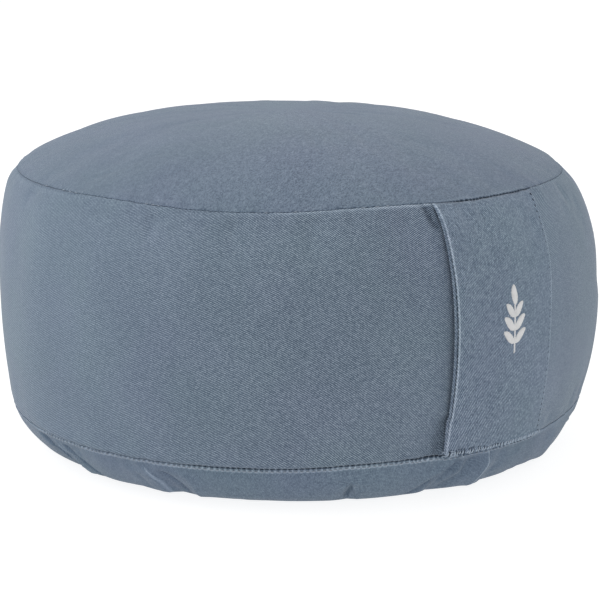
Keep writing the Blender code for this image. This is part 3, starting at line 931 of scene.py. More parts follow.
# Materials. Scales are of noise on the cloth, per metre: how the ribs bend, thick and thin yarns, fibres,
# small mottles, slow clouds of dye, and patches of a greyer and a cooler blue.
BEND_SCALE, BEND = 120.0, 0.45
YARN_SCALE, YARN_RIBS, YARN_TURN_DEG = 190.0, 0.08, 62
FIBRE_SCALE, FIBRES = 950.0, 1.3
MOTTLE_SCALE = 330.0
CLOUD_SCALE, CLOUDS = 24.0, 0.10
PATCH_SCALE, PATCH_LOW, PATCH_HIGH = 17.0, 0.35, 0.65
COOL, GREY = (1.01, 0.99, 1.015), (0.985, 1.01, 0.985)
# How much the painted paleness and shade of that attribute change the cloth's colour
WEAR_AND_LIGHT_PALER = 0.8
DARKEST = 0.05
WEAVE_DEPTH, TWIST_DEPTH, BUMP_STRENGTH = 0.00016, 0.00008, 0.6
# Powers of the brightness in red, green and blue: what is paler is greyer too, and what is darker is bluer
TONE = (1.13, 1.0, 0.86)
# Sewing thread: the turn of its twists, how they bend, and how uneven the thread is
TWIST_TURN_DEG = 50
TWIST_BEND_SCALE, TWIST_BEND = 900.0, 0.5
THREAD_SCALE, THREAD_UNEVEN = 260.0, 0.14


def node(tree, kind, inputs=None, **settings):
    """A shader node with its settings, and its inputs as values or as links from other nodes' sockets."""
    made = tree.nodes.new(kind)
    for name, value in settings.items():
        setattr(made, name, value)
    for name, value in (inputs or {}).items():
        if isinstance(value, bpy.types.NodeSocket):
            tree.links.new(value, made.inputs[name])
        else:
            made.inputs[name].default_value = value
    return made


def maths(tree, operation, first, second=0.0, third=0.0):
    return node(tree, "ShaderNodeMath", {0: first, 1: second, 2: third}, operation=operation).outputs[0]


def vectors(tree, operation, inputs, output=0):
    return node(tree, "ShaderNodeVectorMath", inputs, operation=operation).outputs[output]


def noise(tree, vector, scale, detail=2.0):
    made = node(tree, "ShaderNodeTexNoise", {"Vector": vector, "Scale": scale, "Detail": detail})
    return made.outputs["Fac"]


def swing(tree, value, amount, middle=1.0):
    """A noise of 0 to 1 as a factor that swings about its middle."""
    return maths(tree, "MULTIPLY_ADD", value, 2 * amount, middle - amount)


def phase(tree, vector, lean_deg, pitch, shift):
    """Counts ridges across a surface: lean turns them from level, and shift bends them in waves."""
    lean = math.radians(lean_deg)
    along = (math.sin(lean) / pitch, math.cos(lean) / pitch, 0)
    return maths(tree, "ADD", vectors(tree, "DOT_PRODUCT", {0: vector, 1: along}, "Value"), shift)


def ridges(tree, count):
    """Ridges of 0 to 1 from a count of them."""
    wave = maths(tree, "SINE", maths(tree, "MULTIPLY", count, FULL_TURN))
    return maths(tree, "MULTIPLY_ADD", wave, 0.5, 0.5)


def plain_material(name, roughness, sheen):
    material = bpy.data.materials.new(name)
    material.use_nodes = True
    shader = material.node_tree.nodes["Principled BSDF"]
    shader.inputs["Roughness"].default_value = roughness
    shader.inputs["Specular IOR Level"].default_value = 0.25
    shader.inputs["Sheen Weight"].default_value = sheen
    shader.inputs["Sheen Roughness"].default_value = 0.45
    return material, material.node_tree, shader


def contrast(tree, value, amount):
    """Sharpens ridges of 0 to 1 and gives their share of the brightness, from 1 - amount to 1 + amount."""
    sharp = node(tree, "ShaderNodeMapRange", {
        "Value": value, "From Min": 0.2, "From Max": 0.8, "To Min": 1 - amount, "To Max": 1 + amount,
    }, interpolation_type="SMOOTHSTEP")
    return sharp.outputs[0]


def multiplied(tree, first, *factors):
    for factor in factors:
        first = maths(tree, "MULTIPLY", first, factor)
    return first


def painted(tree, name):
    """What the piece's own attribute says."""
    return node(tree, "ShaderNodeAttribute", attribute_name=name).outputs["Fac"]


def finish_surface(tree, shader, tint, height, depth):
    """Gives a shader its colour and its fine bump."""
    tree.links.new(tint, shader.inputs["Base Color"])
    bump = node(tree, "ShaderNodeBump", {"Height": height, "Distance": depth, "Strength": BUMP_STRENGTH})
    tree.links.new(bump.outputs["Normal"], shader.inputs["Normal"])


def twill(name, blue, lean_deg, ribs, rough, mottle):
    """Cotton twill in a piece's own cloth coordinates, in metres."""
    look = bpy.context.scene.cushion_twill
    grain, melange = rough * look.grain, rough * look.melange
    material, tree, shader = plain_material(name, look.roughness, look.sheen)
    cloth = node(tree, "ShaderNodeUVMap", uv_map="cloth").outputs["UV"]
    bend = swing(tree, noise(tree, cloth, BEND_SCALE), BEND, 0.0)
    rib_count = phase(tree, cloth, lean_deg, look.pitch, bend)
    yarn_count = phase(tree, cloth, lean_deg + YARN_TURN_DEG, look.yarn, bend)
    rib, yarn = ridges(tree, rib_count), ridges(tree, yarn_count)
    # Each float of a yarn over its neighbours is dyed a little differently
    which_rib = maths(tree, "FLOOR", maths(tree, "ADD", rib_count, 0.25))
    which_yarn = maths(tree, "FLOOR", yarn_count)
    floats = node(tree, "ShaderNodeCombineXYZ", {"X": which_rib, "Y": which_yarn}).outputs[0]
    dye = node(tree, "ShaderNodeTexWhiteNoise", {"Vector": floats}, noise_dimensions="2D")
    weave = [contrast(tree, yarn, YARN_RIBS), swing(tree, dye.outputs["Value"], melange)]
    # Thick and thin yarns both ways, then the cotton's own fibres and its small mottles
    for scale in ((1.0, 7.0, 1.0), (7.0, 1.0, 1.0)):
        along = node(tree, "ShaderNodeMapping", {"Vector": cloth, "Scale": scale}).outputs[0]
        weave.append(swing(tree, noise(tree, along, YARN_SCALE), grain))
    fibres = noise(tree, cloth, FIBRE_SCALE)
    weave += [swing(tree, fibres, FIBRES * grain), swing(tree, noise(tree, cloth, MOTTLE_SCALE), mottle)]
    bright = multiplied(tree, contrast(tree, rib, ribs), *weave)
    uneven = maths(tree, "SUBTRACT", bright, 1.0)
    bright = maths(tree, "MULTIPLY_ADD", uneven, painted(tree, "crisp"), 1.0)
    bright = multiplied(tree, bright, swing(tree, noise(tree, cloth, CLOUD_SCALE, 5.0), CLOUDS))
    # Paler from use and with painted highlights, darker with painted shade, as the attribute says
    bright = maths(tree, "MULTIPLY_ADD", painted(tree, "wear"), WEAR_AND_LIGHT_PALER, bright)
    bright = maths(tree, "MAXIMUM", bright, DARKEST)
    cool, grey = ([value * part for value, part in zip(blue, shift)] + [1] for shift in (COOL, GREY))
    patches = node(tree, "ShaderNodeMapRange", {
        "Value": noise(tree, cloth, PATCH_SCALE, 3.0), "From Min": PATCH_LOW, "From Max": PATCH_HIGH})
    colours = {0: patches.outputs[0], 6: cool, 7: grey}
    tint = node(tree, "ShaderNodeMix", colours, data_type="RGBA").outputs[2]
    tone = node(tree, "ShaderNodeCombineXYZ", {
        axis: maths(tree, "POWER", bright, power) for axis, power in zip("XYZ", TONE)}).outputs[0]
    tint = vectors(tree, "MULTIPLY", {0: tint, 1: tone})
    finish_surface(tree, shader, tint, maths(tree, "MULTIPLY_ADD", fibres, 0.5, rib), WEAVE_DEPTH)
    return material


def thread_material(name, tint, roughness, sheen, pitch=0.0004, dark=0.22):
    """Twisted thread: fine dark twists and a little unevenness, in object coordinates."""
    material, tree, shader = plain_material(name, roughness, sheen)
    place = node(tree, "ShaderNodeTexCoord").outputs["Object"]
    bend = swing(tree, noise(tree, place, TWIST_BEND_SCALE), TWIST_BEND, 0.0)
    twist = ridges(tree, phase(tree, place, TWIST_TURN_DEG, pitch, bend))
    bright = maths(tree, "MULTIPLY_ADD", twist, dark, 1.04 - dark)
    bright = multiplied(tree, bright, swing(tree, noise(tree, place, THREAD_SCALE, 3.0), THREAD_UNEVEN))
    tint = vectors(tree, "SCALE", {0: tuple(tint), "Scale": bright})
    finish_surface(tree, shader, tint, twist, TWIST_DEPTH)
    return material


def sewn_in(piece, material, slot, *nodes):
    """Gives a finished piece its material, drops its working layers, sets it on the body and hides the
    packed solids that it replaces.
    """
    piece.data.materials.clear()
    piece.data.materials.append(material)
    drop_layers(piece.data)
    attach(piece, BODY)
    if nodes:
        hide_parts(*nodes)
    return piece


def the_cover():
    """The cover with the simulation's result, worked out once."""
    scene = bpy.context.scene
    if "cover" not in WORKSHOP:
        cover = Cover(scene.cushion_form, scene.cushion_seams)
        cover.swell = simulated_swell(cover)
        WORKSHOP["cover"] = cover
    return WORKSHOP["cover"]


WORKSHOP = {}


class CUSHION_OT_top_panel(bpy.types.Operator):
    """Draw the round top panel over the filling"""
    bl_idname = "cushion.top_panel"
    bl_label = "Top Panel"
    bl_options = {"REGISTER", "UNDO"}

    def execute(self, context):
        cover, seams, form = the_cover(), context.scene.cushion_seams, context.scene.cushion_form
        edge = sewn_edge(0.0, -1, seams.top_edge, form.cloth - seams.top_edge)
        face = rings(spaced(-0.0052, cover.first, steps=56, crowd=1.35))[::-1]
        back = rings(spaced(-0.006, cover.first, steps=8), form.cloth)
        stations = face + edge[::-1] + back
        piece, compass, girth = turned("top_cloth", cover, stations, form.turn_steps)
        disc_uv(piece.data, compass, girth - cover.first)
        look = context.scene.cushion_twill
        cloth = twill("top_twill_cloth", look.top_blue, look.rib_lean - 12, look.top_ribs, rough=1.1,
                      mottle=0.24)
        sewn_in(piece, cloth, "top_twill", "top_panel")
        return {"FINISHED"}


class CUSHION_OT_filled_body(bpy.types.Operator):
    """Fill the cushion and stretch the side band around it"""
    bl_idname = "cushion.filled_body"
    bl_label = "Filled Body"
    bl_options = {"REGISTER", "UNDO"}

    def execute(self, context):
        cover, seams, form = the_cover(), context.scene.cushion_seams, context.scene.cushion_form
        low = cover.band_length
        seat = rings(spaced(-HAIR, cover.first, steps=8, crowd=1.2)[::-1], form.seat)
        body = rings(bell(0.0050, low - 0.0050, steps=50))
        foot = rings(spaced(low + HAIR, low + cover.foot_length, steps=14), form.seat)
        upper = sewn_edge(0.0, 1, seams.top_edge, form.seat - seams.top_edge)
        lower = sewn_edge(low, -1, seams.band_edge, form.seat - seams.band_edge)
        stations = seat + upper + body + lower[::-1] + foot + [Station(cover.last, form.seat, 0)]
        piece, compass, girth = turned("filled_body", cover, stations, form.turn_steps)
        band_uv(piece.data, cover, compass, girth)
        look = context.scene.cushion_twill
        cloth = twill("band_twill_cloth", look.band_blue, look.rib_lean, look.band_ribs, rough=1.0,
                      mottle=0.04)
        sewn_in(piece, cloth, "band_twill", "filled_band")
        return {"FINISHED"}


class CUSHION_OT_base_panel(bpy.types.Operator):
    """Draw the base panel up round the foot to the low seam"""
    bl_idname = "cushion.base_panel"
    bl_label = "Base Panel"
    bl_options = {"REGISTER", "UNDO"}

    def execute(self, context):
        cover, seams, form = the_cover(), context.scene.cushion_seams, context.scene.cushion_form
        low, floor_edge = cover.band_length, cover.band_length + cover.foot_length
        edge = sewn_edge(low, 1, seams.lip, form.cloth - seams.lip)
        foot = rings(spaced(low + 0.0046, floor_edge, steps=36), cuts=1)
        flat = rings(spaced(floor_edge + 0.004, cover.last, steps=8))
        inner = spaced(cover.last, floor_edge, steps=4) + spaced(floor_edge, low + 0.003, steps=16)[1:]
        stations = rings(inner, form.cloth) + edge + foot + flat
        piece, compass, girth = turned("base_cloth", cover, stations, form.turn_steps)
        disc_uv(piece.data, compass, cover.last - girth)
        look = context.scene.cushion_twill
        cloth = twill("base_twill_cloth", look.base_blue, look.rib_lean + 9, look.base_ribs, rough=0.9,
                      mottle=0.14)
        sewn_in(piece, cloth, "base_twill", "base_panel")
        return {"FINISHED"}


# The handle, in its own measures: across from its middle, positive to the right, and girth down the band
HANDLE_ACROSS = 44
HANDLE_FOLD_ROUNDS = 12
SEWN_ROUNDS = 8
HANDLE_DOWN = 300
FRONT_CROWD = 1.6
# How far each edge lies from the handle's middle, by the way down from the top seam, all in millimetres
LEFT_EDGE = ((0, 34.9), (5, 35.0), (16, 35.9), (28, 37.0), (47, 37.2), (67, 36.9), (88, 37.1), (103, 37.3),
             (117, 37.0), (132, 35.9))
RIGHT_EDGE = ((0, 33.1), (8, 32.5), (17, 31.6), (32, 31.3), (47, 30.9), (62, 30.3), (86, 29.7), (103, 29.6),
              (113, 29.8), (122, 30.6), (132, 31.4))
EDGE_EASE = 5.0
EDGE_SAMPLES = 9
SEWN_ROLL = 0.0009
FOLD_EASE = 0.0008
# The front fold's roll and the furrow beside it, the furrow over the hem, and the sunk sewn edge
FRONT_ROLL = Line(0.00040, 0.0008, 0.0007)
FURROW = Line(0.00030, 0.0024, 0.0009)
HEM_FURROW = Line(0.0004, 0.0032, 0.0008)
HEM_FURROW_END, HEM_FURROW_EASE = -0.012, 0.008
SUNK_EDGE = Line(0.0004, 0.0019, 0.0007)
# Two slow waves make the front fold thicker and thinner, as a rope: how much, and how long each is
ROPE_WAVES = ((0.05, 0.0029), (0.04, 0.0047))
# Lines of the handle: its front fold pale from use and with a painted highlight, its hem paler, a painted
# highlight on its sewn edge, and painted shade on its back fold and under the crown
FOLD_WEAR_AND_HIGHLIGHT = Line(1.3, 0.0003, 0.0004)
HEM_PALER = Line(0.5, 0.0009, 0.0010)
SEWN_EDGE_HIGHLIGHT = Line(0.5, 0.0005, 0.0007)
SHADE_UNDER_CROWN = Line(0.38, 0.0, 0.0024)
PALEST_PAINT, BACK_FOLD_SHADE, BACK_FOLD_WIDTH, BACK_FOLD_SHARE = 1.3, 0.3, 0.0022, 0.55


def handle_width(handle, girth):
    """Distance of the left and the right edge from the handle's middle."""
    widths = []
    for edge in (LEFT_EDGE, RIGHT_EDGE):
        run, width = np.array(edge).T
        shifts = np.linspace(-EDGE_EASE, EDGE_EASE, EDGE_SAMPLES)
        near = [np.interp(girth / MM + shift, run, width) for shift in shifts]
        widths.append(np.mean(near, axis=0) * MM * handle.half_width / HANDLE_HALF_WIDTH)
    return widths


def handle_loose(girth, cover):
    """How loose the handle lies at a girth: 0 at its sewn ends and 1 between them."""
    return np.sin(math.pi * np.clip(girth / cover.band_length, 0, 1)) ** 0.5


def handle_free(handle, across):
    """How free the handle is across its width: 0 at its sewn edge and 1 at its free edge."""
    return np.clip((handle.half_width - across) / (2 * handle.half_width), 0, 1) ** 3


def half_back_fold(handle, loose):
    return lerp(handle.sewn_thick / 2, handle.fold, loose) / 2


def handle_top(handle, across, girth, cover):
    """Height of the handle's front face over the band."""
    left, right = handle_width(handle, girth)
    loose, free = handle_loose(girth, cover), handle_free(handle, across)
    thick = lerp(handle.sewn_thick, lerp(handle.thick, 2 * handle.fold, free), loose)
    inside = across + left - handle.fold_step * loose
    roll = drawn(FRONT_ROLL, inside) - drawn(FURROW, inside)
    hem = cover.band_length - handle.low_stop - girth
    over_hem = drawn(HEM_FURROW, hem) * eased((HEM_FURROW_END - across) / HEM_FURROW_EASE)
    top = handle.gap + (handle.lift + handle.slit) * free * loose + thick
    return top + roll * (0.3 + 0.7 * loose) - over_hem - drawn(SUNK_EDGE, right - across) * loose


def end_factor(handle, girth, cover):
    """1 over the handle's length, falling round a quarter circle to 0 at its two ends."""
    stop = cover.band_length - handle.low_stop
    near = np.minimum(girth / handle.top_roll, (stop - girth) / handle.low_roll)
    return np.sqrt(np.clip(1 - (1 - np.clip(near, 0, 1)) ** 2, 0, 1))


def handle_contour(handle, girth, cover):
    """A closed line round the handle's thickness at each girth, as across and above, by point and girth."""
    left, right = handle_width(handle, girth)
    loose = handle_loose(girth, cover)
    rope = 1
    for amount, pitch in ROPE_WAVES:
        rope = rope + amount * np.sin(girth / pitch * FULL_TURN)
    back = half_back_fold(handle, loose)
    front = back * rope
    gap, lift, slit, step = handle.gap, handle.lift * loose, handle.slit * loose, handle.fold_step * loose
    inside, over_back = right - SEWN_ROLL, gap + lift + 2 * back
    across, above = [], []

    def fold_round(middle, level, half):
        for turn in np.linspace(-0.5 * math.pi, -1.5 * math.pi, HANDLE_FOLD_ROUNDS):
            across.append(middle + half * np.cos(turn))
            above.append(level + half * np.sin(turn))

    # The back face, the back fold, the slit, the front fold, the front face and the sewn edge
    for part in np.linspace(0, 1, HANDLE_ACROSS):
        across.append(lerp(inside, -left + back, part))
        above.append(gap + lift * handle_free(handle, across[-1]))
    fold_round(-left + back, gap + lift + back, back)
    for part in (0.25, 0.75):
        across.append(-left + step + 2 * front)
        above.append(over_back + slit * part)
    start = -left + step + front
    fold_round(start, over_back + slit + front, front)
    for part in np.linspace(0, 1, HANDLE_ACROSS + HANDLE_ACROSS // 2)[1:] ** FRONT_CROWD:
        place = lerp(start, inside, part)
        flat = handle_top(handle, place, girth, cover)
        across.append(place)
        above.append(lerp(over_back + slit + 2 * front, flat, eased((place - start) / FOLD_EASE)))
    thin = handle_top(handle, inside, girth, cover)
    for turn in np.linspace(math.pi / 2, -math.pi / 2, SEWN_ROUNDS)[1:-1]:
        across.append(inside + SEWN_ROLL * np.cos(turn))
        above.append(gap + (thin - gap) * (0.5 + 0.5 * np.sin(turn)))
    return np.array(across), np.array(above)


def handle_wear_and_painted_light(handle, place, girth, height, cover):
    """How much paler the handle is painted: its front fold from use and as a painted highlight, its hem, and
    its sewn edge as a painted highlight, less painted shade on its back fold and under the crown.
    """
    left, right = handle_width(handle, girth)
    loose = handle_loose(girth, cover)
    front = height > handle.gap + (handle.lift + BACK_FOLD_SHARE * handle.fold) * loose
    behind = (place < -left + BACK_FOLD_WIDTH) & ~front
    fold = drawn(FOLD_WEAR_AND_HIGHLIGHT, place + left - handle.fold_step * loose) * front
    hem = drawn(HEM_PALER, cover.band_length - handle.low_stop - girth)
    worn = np.clip(fold + hem + drawn(SEWN_EDGE_HIGHLIGHT, right - place) * loose, 0, PALEST_PAINT)
    return worn - BACK_FOLD_SHADE * behind * loose - drawn(SHADE_UNDER_CROWN, girth)


class CUSHION_OT_handle(bpy.types.Operator):
    """Sew the doubled carry handle over the band from seam to seam"""
    bl_idname = "cushion.handle"
    bl_label = "Carry Handle"
    bl_options = {"REGISTER", "UNDO"}

    def execute(self, context):
        cover, handle = the_cover(), context.scene.cushion_handle
        low = cover.band_length
        girths = np.array(bell(0.0002, low - handle.low_stop, HANDLE_DOWN))
        across, above = handle_contour(handle, girths, cover)
        count = len(across)
        shape = bmesh.new()
        bmesh.ops.create_grid(shape, x_segments=count, y_segments=HANDLE_DOWN, size=0.5)
        column = np.array([round((vert.co.x + 0.5) * count) for vert in shape.verts]) % count
        row = np.array([round((0.5 - vert.co.y) * HANDLE_DOWN) for vert in shape.verts])
        girth, place, height = girths[row], across[column, row], above[column, row]
        raised = (height + SEWN_ROLL) * end_factor(handle, girth, cover) - SEWN_ROLL
        for vert, point in zip(shape.verts, cover.points(cover.compass_at(place, girth), girth, -raised)):
            vert.co = point
        mesh = bpy.data.meshes.new("handle_cloth")
        bmesh.ops.recalc_face_normals(shape, faces=shape.faces)
        shape.to_mesh(mesh)
        corners, _ = loops_of(mesh)
        set_uv(mesh, place[corners], -girth[corners])
        set_attribute(mesh, "crisp", lerp(1.0, 0.7, eased(place / 0.045 + 0.35)))
        # The handle's paleness from use, its painted highlights and its painted shade
        set_attribute(mesh, "wear", handle_wear_and_painted_light(handle, place, girth, height, cover))
        shape.clear()
        shape.from_mesh(mesh)
        bmesh.ops.remove_doubles(shape, verts=shape.verts, dist=HAIR)
        bmesh.ops.holes_fill(shape, edges=shape.edges, sides=0)
        bmesh.ops.recalc_face_normals(shape, faces=shape.faces)
        shape.to_mesh(mesh)
        shape.free()
        mesh.shade_smooth()
        piece = in_scene("handle_cloth", mesh)
        look = context.scene.cushion_twill
        cloth = twill("handle_twill_cloth", look.handle_blue, look.rib_lean + 84, look.handle_ribs,
                      rough=1.2, mottle=0.15)
        sewn_in(piece, cloth, "handle_twill", "handle")
        return {"FINISHED"}


# Stitches: how many are made at once, and how far apart the handle's own are and lie from its low end
STRANDS_AT_ONCE = 40
BINDING_PITCH, EDGE_PITCH = 0.0029, 0.0031
HEAD_LINE, FURROW_LINE = 0.0014, 0.0028
LOOSE_FIBRES = 26
# Here and there a thread has worked itself out of the top seam
LOOSE_THREAD_DEG = (-52.5, -50.4, -48.6, -30.4, -29.0, -27.9, -6.2, -0.6, 12.4, 15.1, 17.2, 54.0, 56.5,
                    131.0, 176.0, 222.0, 301.0)


def strand(place, turn_deg, half_length, half_width, half_height):
    """One stitch as a matrix for a ball: a long strand at a place, turned in the cloth's plane."""
    return (place @ Matrix.Rotation(math.radians(turn_deg), 4, "Z")
            @ Matrix.Diagonal((half_length, half_width, half_height, 1.0))
            @ Matrix.Rotation(math.radians(90), 4, "Y"))


def stitched(name, strands, material, slot, segments=(6, 5)):
    """A piece of many strands. They are made a few at a time, because each one slows the next."""
    whole = bmesh.new()
    for first in range(0, len(strands), STRANDS_AT_ONCE):
        some = bmesh.new()
        for matrix in strands[first:first + STRANDS_AT_ONCE]:
            bmesh.ops.create_uvsphere(some, u_segments=segments[0], v_segments=segments[1], radius=1.0,
                                      matrix=matrix)
        part = mesh_of("strands", some)
        whole.from_mesh(part)
        bpy.data.meshes.remove(part)
    mesh = mesh_of(name, whole)
    mesh.shade_smooth()
    return sewn_in(in_scene(name, mesh), material, slot)


def stitch_angles(radius, pitch, seed):
    """Compass angles of the stitches of a seam."""
    count = round(FULL_TURN * radius / pitch)
    angles = np.arange(count) * 360 / count
    return angles - STITCH_DRIFT * ripple(angles, DRIFT_WAVES, seed) * 360 / count


class CUSHION_OT_stitching(bpy.types.Operator):
    """Lay the stitches of both seams and of the handle"""
    bl_idname = "cushion.stitching"
    bl_label = "Stitching"
    bl_options = {"REGISTER", "UNDO"}

    def execute(self, context):
        look, seams = context.scene.cushion_twill, context.scene.cushion_seams
        thread = thread_material("sewing_thread", look.thread_blue, roughness=0.6, sheen=0.15)
        # Near-black thread for the strands that paint shade
        shade = thread_material("sunk_thread", look.shade_blue, roughness=0.8, sheen=0.05)
        stitched("top_seam_stitches", self.top_seam(seams), thread, "top_twill")
        stitched("low_seam_stitches", self.low_seam(seams), thread, "base_twill")
        overlock = thread_material("overlock_thread", look.hem_blue, roughness=0.6, sheen=0.15)
        light, heads, dark = self.handle_seams(seams)
        stitched("handle_hem_stitches", heads, overlock, "handle_twill")
        stitched("handle_stitches", light, thread, "handle_twill")
        stitched("handle_sunk_stitches", dark, shade, "handle_twill")
        return {"FINISHED"}

    def top_seam(self, seams):
        """Each stitch down in the seam, and the threads that have come loose."""
        cover, draw, thread = the_cover(), random.Random(41), seams.thread
        angles = stitch_angles(cover.form.top_seam_radius, seams.top_pitch, TOP_STITCH_SEED)
        sink = np.array([-0.0007 + draw.uniform(-0.0002, 0.0002) for _ in angles])
        made = [strand(place, draw.uniform(50, 100), 0.00055, thread, thread)
                for place in cover.places(angles, 0.0, sink)]
        for place in cover.places(LOOSE_THREAD_DEG, 0.0, 0.0001):
            made.append(strand(place, draw.uniform(-20, 25), 0.0010, thread, thread * 1.3))
        return made

    def low_seam(self, seams):
        """A strand along each bite of the low seam, and one down into it between two bites."""
        cover, draw, thread = the_cover(), random.Random(42), seams.thread
        low = cover.band_length
        angles = stitch_angles(cover.form.low_seam_radius, seams.low_pitch, LOW_STITCH_SEED)
        bite = 180 / len(angles)
        angles = angles[in_stretches(LOW_TIGHT, angles) < 0.4]
        made = [strand(place, draw.uniform(-14, 10), draw.uniform(0.0010, 0.0012), thread * 1.4,
                       thread * 1.8)
                for place in cover.places(angles + bite, low + 0.0006, 0.0002)]
        made += [strand(place, draw.uniform(62, 88), 0.0008, thread * 0.9, thread * 0.9)
                 for place in cover.places(angles, low + 0.0002, -0.0004)]
        return made

    def handle_seams(self, seams):
        """The handle's stitches: light ones, the heads of its overlocked end, and dark ones that paint shade
        in the slit, the needle holes, the hem's furrow and the gaps between the heads.
        """
        cover, handle = the_cover(), bpy.context.scene.cushion_handle
        draw, thread = random.Random(43), seams.thread

        def places(across, girth, above):
            return cover.places(cover.compass_at(across, girth), girth, above)

        # The slanted stitches that bind the back fold of the free edge, and dark strands in the slit that
        # paint its shade
        girths = np.arange(0.014, cover.band_length - 0.004, BINDING_PITCH)
        left, _ = handle_width(handle, girths)
        loose = handle_loose(girths, cover)
        back = half_back_fold(handle, loose)
        above = handle.gap + handle.lift * loose + 2 * back
        light = [strand(place, draw.uniform(66, 76), 0.0013, thread * 0.7, thread * 0.8)
                 for place in places(-left + back * 0.8, girths, above - 0.0002)]
        dark = [strand(place, draw.uniform(78, 84), 0.0014, thread * 1.3, thread)
                for place in places(-left + back * 2.0, girths + 0.0013, above + 0.0001)]
        # The small sunk stitches that hold the right edge down, in the near-black thread, which paints the
        # shade of their needle holes
        girths = np.arange(0.004, cover.band_length - 0.003, EDGE_PITCH)
        across = handle_width(handle, girths)[1] - SUNK_EDGE.at
        dark += [strand(place, draw.uniform(75, 100), 0.0008, thread * 1.5, thread * 1.5)
                 for place in places(across, girths, handle_top(handle, across, girths, cover))]
        # The overlock stitches over the low end, and dark strands between their heads that paint the shade
        # of the gaps
        stop = cover.band_length - handle.low_stop
        left, right = (side[0] for side in handle_width(handle, np.array([stop - 0.002])))
        across = np.arange(-left + 0.0006, right - 0.0004, handle.hem_pitch)
        across += 0.3 * handle.hem_pitch * np.array([draw.uniform(-1, 1) for _ in across])
        girth = np.full_like(across, stop - HEAD_LINE)
        top = handle_top(handle, across, girth, cover)
        heads = [strand(place, draw.uniform(50, 86), draw.uniform(0.0008, 0.0014),
                        thread * draw.uniform(1.6, 2.3), thread * 2.2)
                 for place in places(across, girth, top + 0.0001)]
        # Between the heads the painted shade is deep at the left, less so towards the right
        half_pitch = 0.5 * handle.hem_pitch
        depth = 1 - 0.75 * eased((across + 0.004) / 0.020)
        dark += [strand(place, draw.uniform(60, 84), 0.0011 * deep, thread * 1.4 * deep, thread * 1.8)
                 for place, deep in zip(places(across + half_pitch, girth, top - 0.0002), depth)]
        # Dark strands in the furrow over the hem paint its shade
        across = across[across < HEM_FURROW_END]
        girth = np.full_like(across, stop - FURROW_LINE)
        top = handle_top(handle, across, girth, cover)
        dark += [strand(place, draw.uniform(50, 80), draw.uniform(0.0004, 0.0008), thread, thread)
                 for place in places(across + half_pitch, girth, top)]
        # Loose fibres at the low left corner
        for _ in range(LOOSE_FIBRES):
            spot = -left + abs(draw.gauss(0.0, 0.0060)) - 0.0008
            girth = stop - draw.uniform(-0.0008, 0.0030)
            above = 0.0024 + draw.uniform(-0.0004, 0.0006)
            place = places([spot], [girth], [above])[0]
            heads.append(strand(place, draw.uniform(-70, 70), draw.uniform(0.0010, 0.0020), thread * 0.9,
                                thread))
        return light, heads, dark


# The sprig: a leaf is its root on the stem, the direction it grows in, its length and its half width
Leaf = namedtuple("Leaf", "root_height direction_deg length half_width")
SPRIG_GIRTH = 0.062
SPRIG_HEIGHT = 0.034
STEM_SHARE, STEM_HALF, STEM_SLANT = 0.72, 0.00085, 62
FLOSS_PITCH = 0.00042
FLOSS_HALF, FLOSS_HIGH = 0.00027, 0.00050
FLOSS_SLANT = 58
# The shape of a leaf: how far out its widest place lies, and how round it is
LEAF_LEAN, LEAF_ROUND = 0.85, 0.75
LEAVES = (
    Leaf(0.0050, 38, 0.0100, 0.0022),
    Leaf(0.0050, 142, 0.0100, 0.0022),
    Leaf(0.0116, 42, 0.0100, 0.0023),
    Leaf(0.0116, 138, 0.0100, 0.0023),
    Leaf(0.0182, 48, 0.0090, 0.0021),
    Leaf(0.0182, 132, 0.0090, 0.0021),
    Leaf(0.0238, 90, 0.0104, 0.0024),
)


class CUSHION_OT_sprig(bpy.types.Operator):
    """Embroider a plain sprig of leaves in satin stitch on the handle"""
    bl_idname = "cushion.sprig"
    bl_label = "Embroidered Sprig"
    bl_options = {"REGISTER", "UNDO"}

    def execute(self, context):
        look = context.scene.cushion_twill
        draw = random.Random(51)
        made = [self.floss(0.0, height, STEM_SLANT, STEM_HALF, draw)
                for height in np.arange(0.0, SPRIG_HEIGHT * STEM_SHARE, FLOSS_PITCH * 1.5)]
        for leaf in LEAVES:
            turn = math.radians(leaf.direction_deg)
            slant = FLOSS_SLANT if leaf.direction_deg <= 90 else -FLOSS_SLANT
            for step in range(1, int(leaf.length / FLOSS_PITCH)):
                part = step * FLOSS_PITCH / leaf.length
                half = leaf.half_width * math.sin(math.pi * part ** LEAF_LEAN) ** LEAF_ROUND
                x = math.cos(turn) * leaf.length * part
                y = leaf.root_height + math.sin(turn) * leaf.length * part
                made.append(self.floss(x, y, leaf.direction_deg + slant,
                                       half / math.sin(math.radians(FLOSS_SLANT)), draw))
        floss = thread_material("embroidery_floss", look.floss_white, roughness=0.45, sheen=0.4,
                                pitch=0.0005, dark=0.12)
        stitched("handle_sprig", made, floss, "handle_twill", segments=(6, 6))
        return {"FINISHED"}

    def floss(self, x, y, turn_deg, half_length, draw):
        """One strand of floss at a place on the handle, measured from the foot of the stem."""
        cover, handle = the_cover(), bpy.context.scene.cushion_handle
        across, girth = np.array([x]), np.array([SPRIG_GIRTH + SPRIG_HEIGHT / 2 - y])
        above = handle_top(handle, across, girth, cover) + 0.00005
        place = cover.places(cover.compass_at(across, girth), girth, above)[0]
        return strand(place, turn_deg, half_length * draw.uniform(0.94, 1.04), FLOSS_HALF, FLOSS_HIGH)


# The lamps: name, setting of its power, size, and place to the right of, beyond and over the aim
Lamp = namedtuple("Lamp", "name power size right beyond over")
LAMPS = (
    Lamp("key_lamp", "key_light", 0.9, -0.95, -0.05, 0.75),
    Lamp("rim_lamp", "rim_light", 0.8, 0.95, 0.45, 0.55),
    Lamp("top_lamp", "top_light", 1.0, 0.0, 0.3, 1.2),
)
FLOOR_HALF = 4.0
FLOOR_BELOW = 0.0002
WHITE = (1.0, 1.0, 1.0, 1.0)


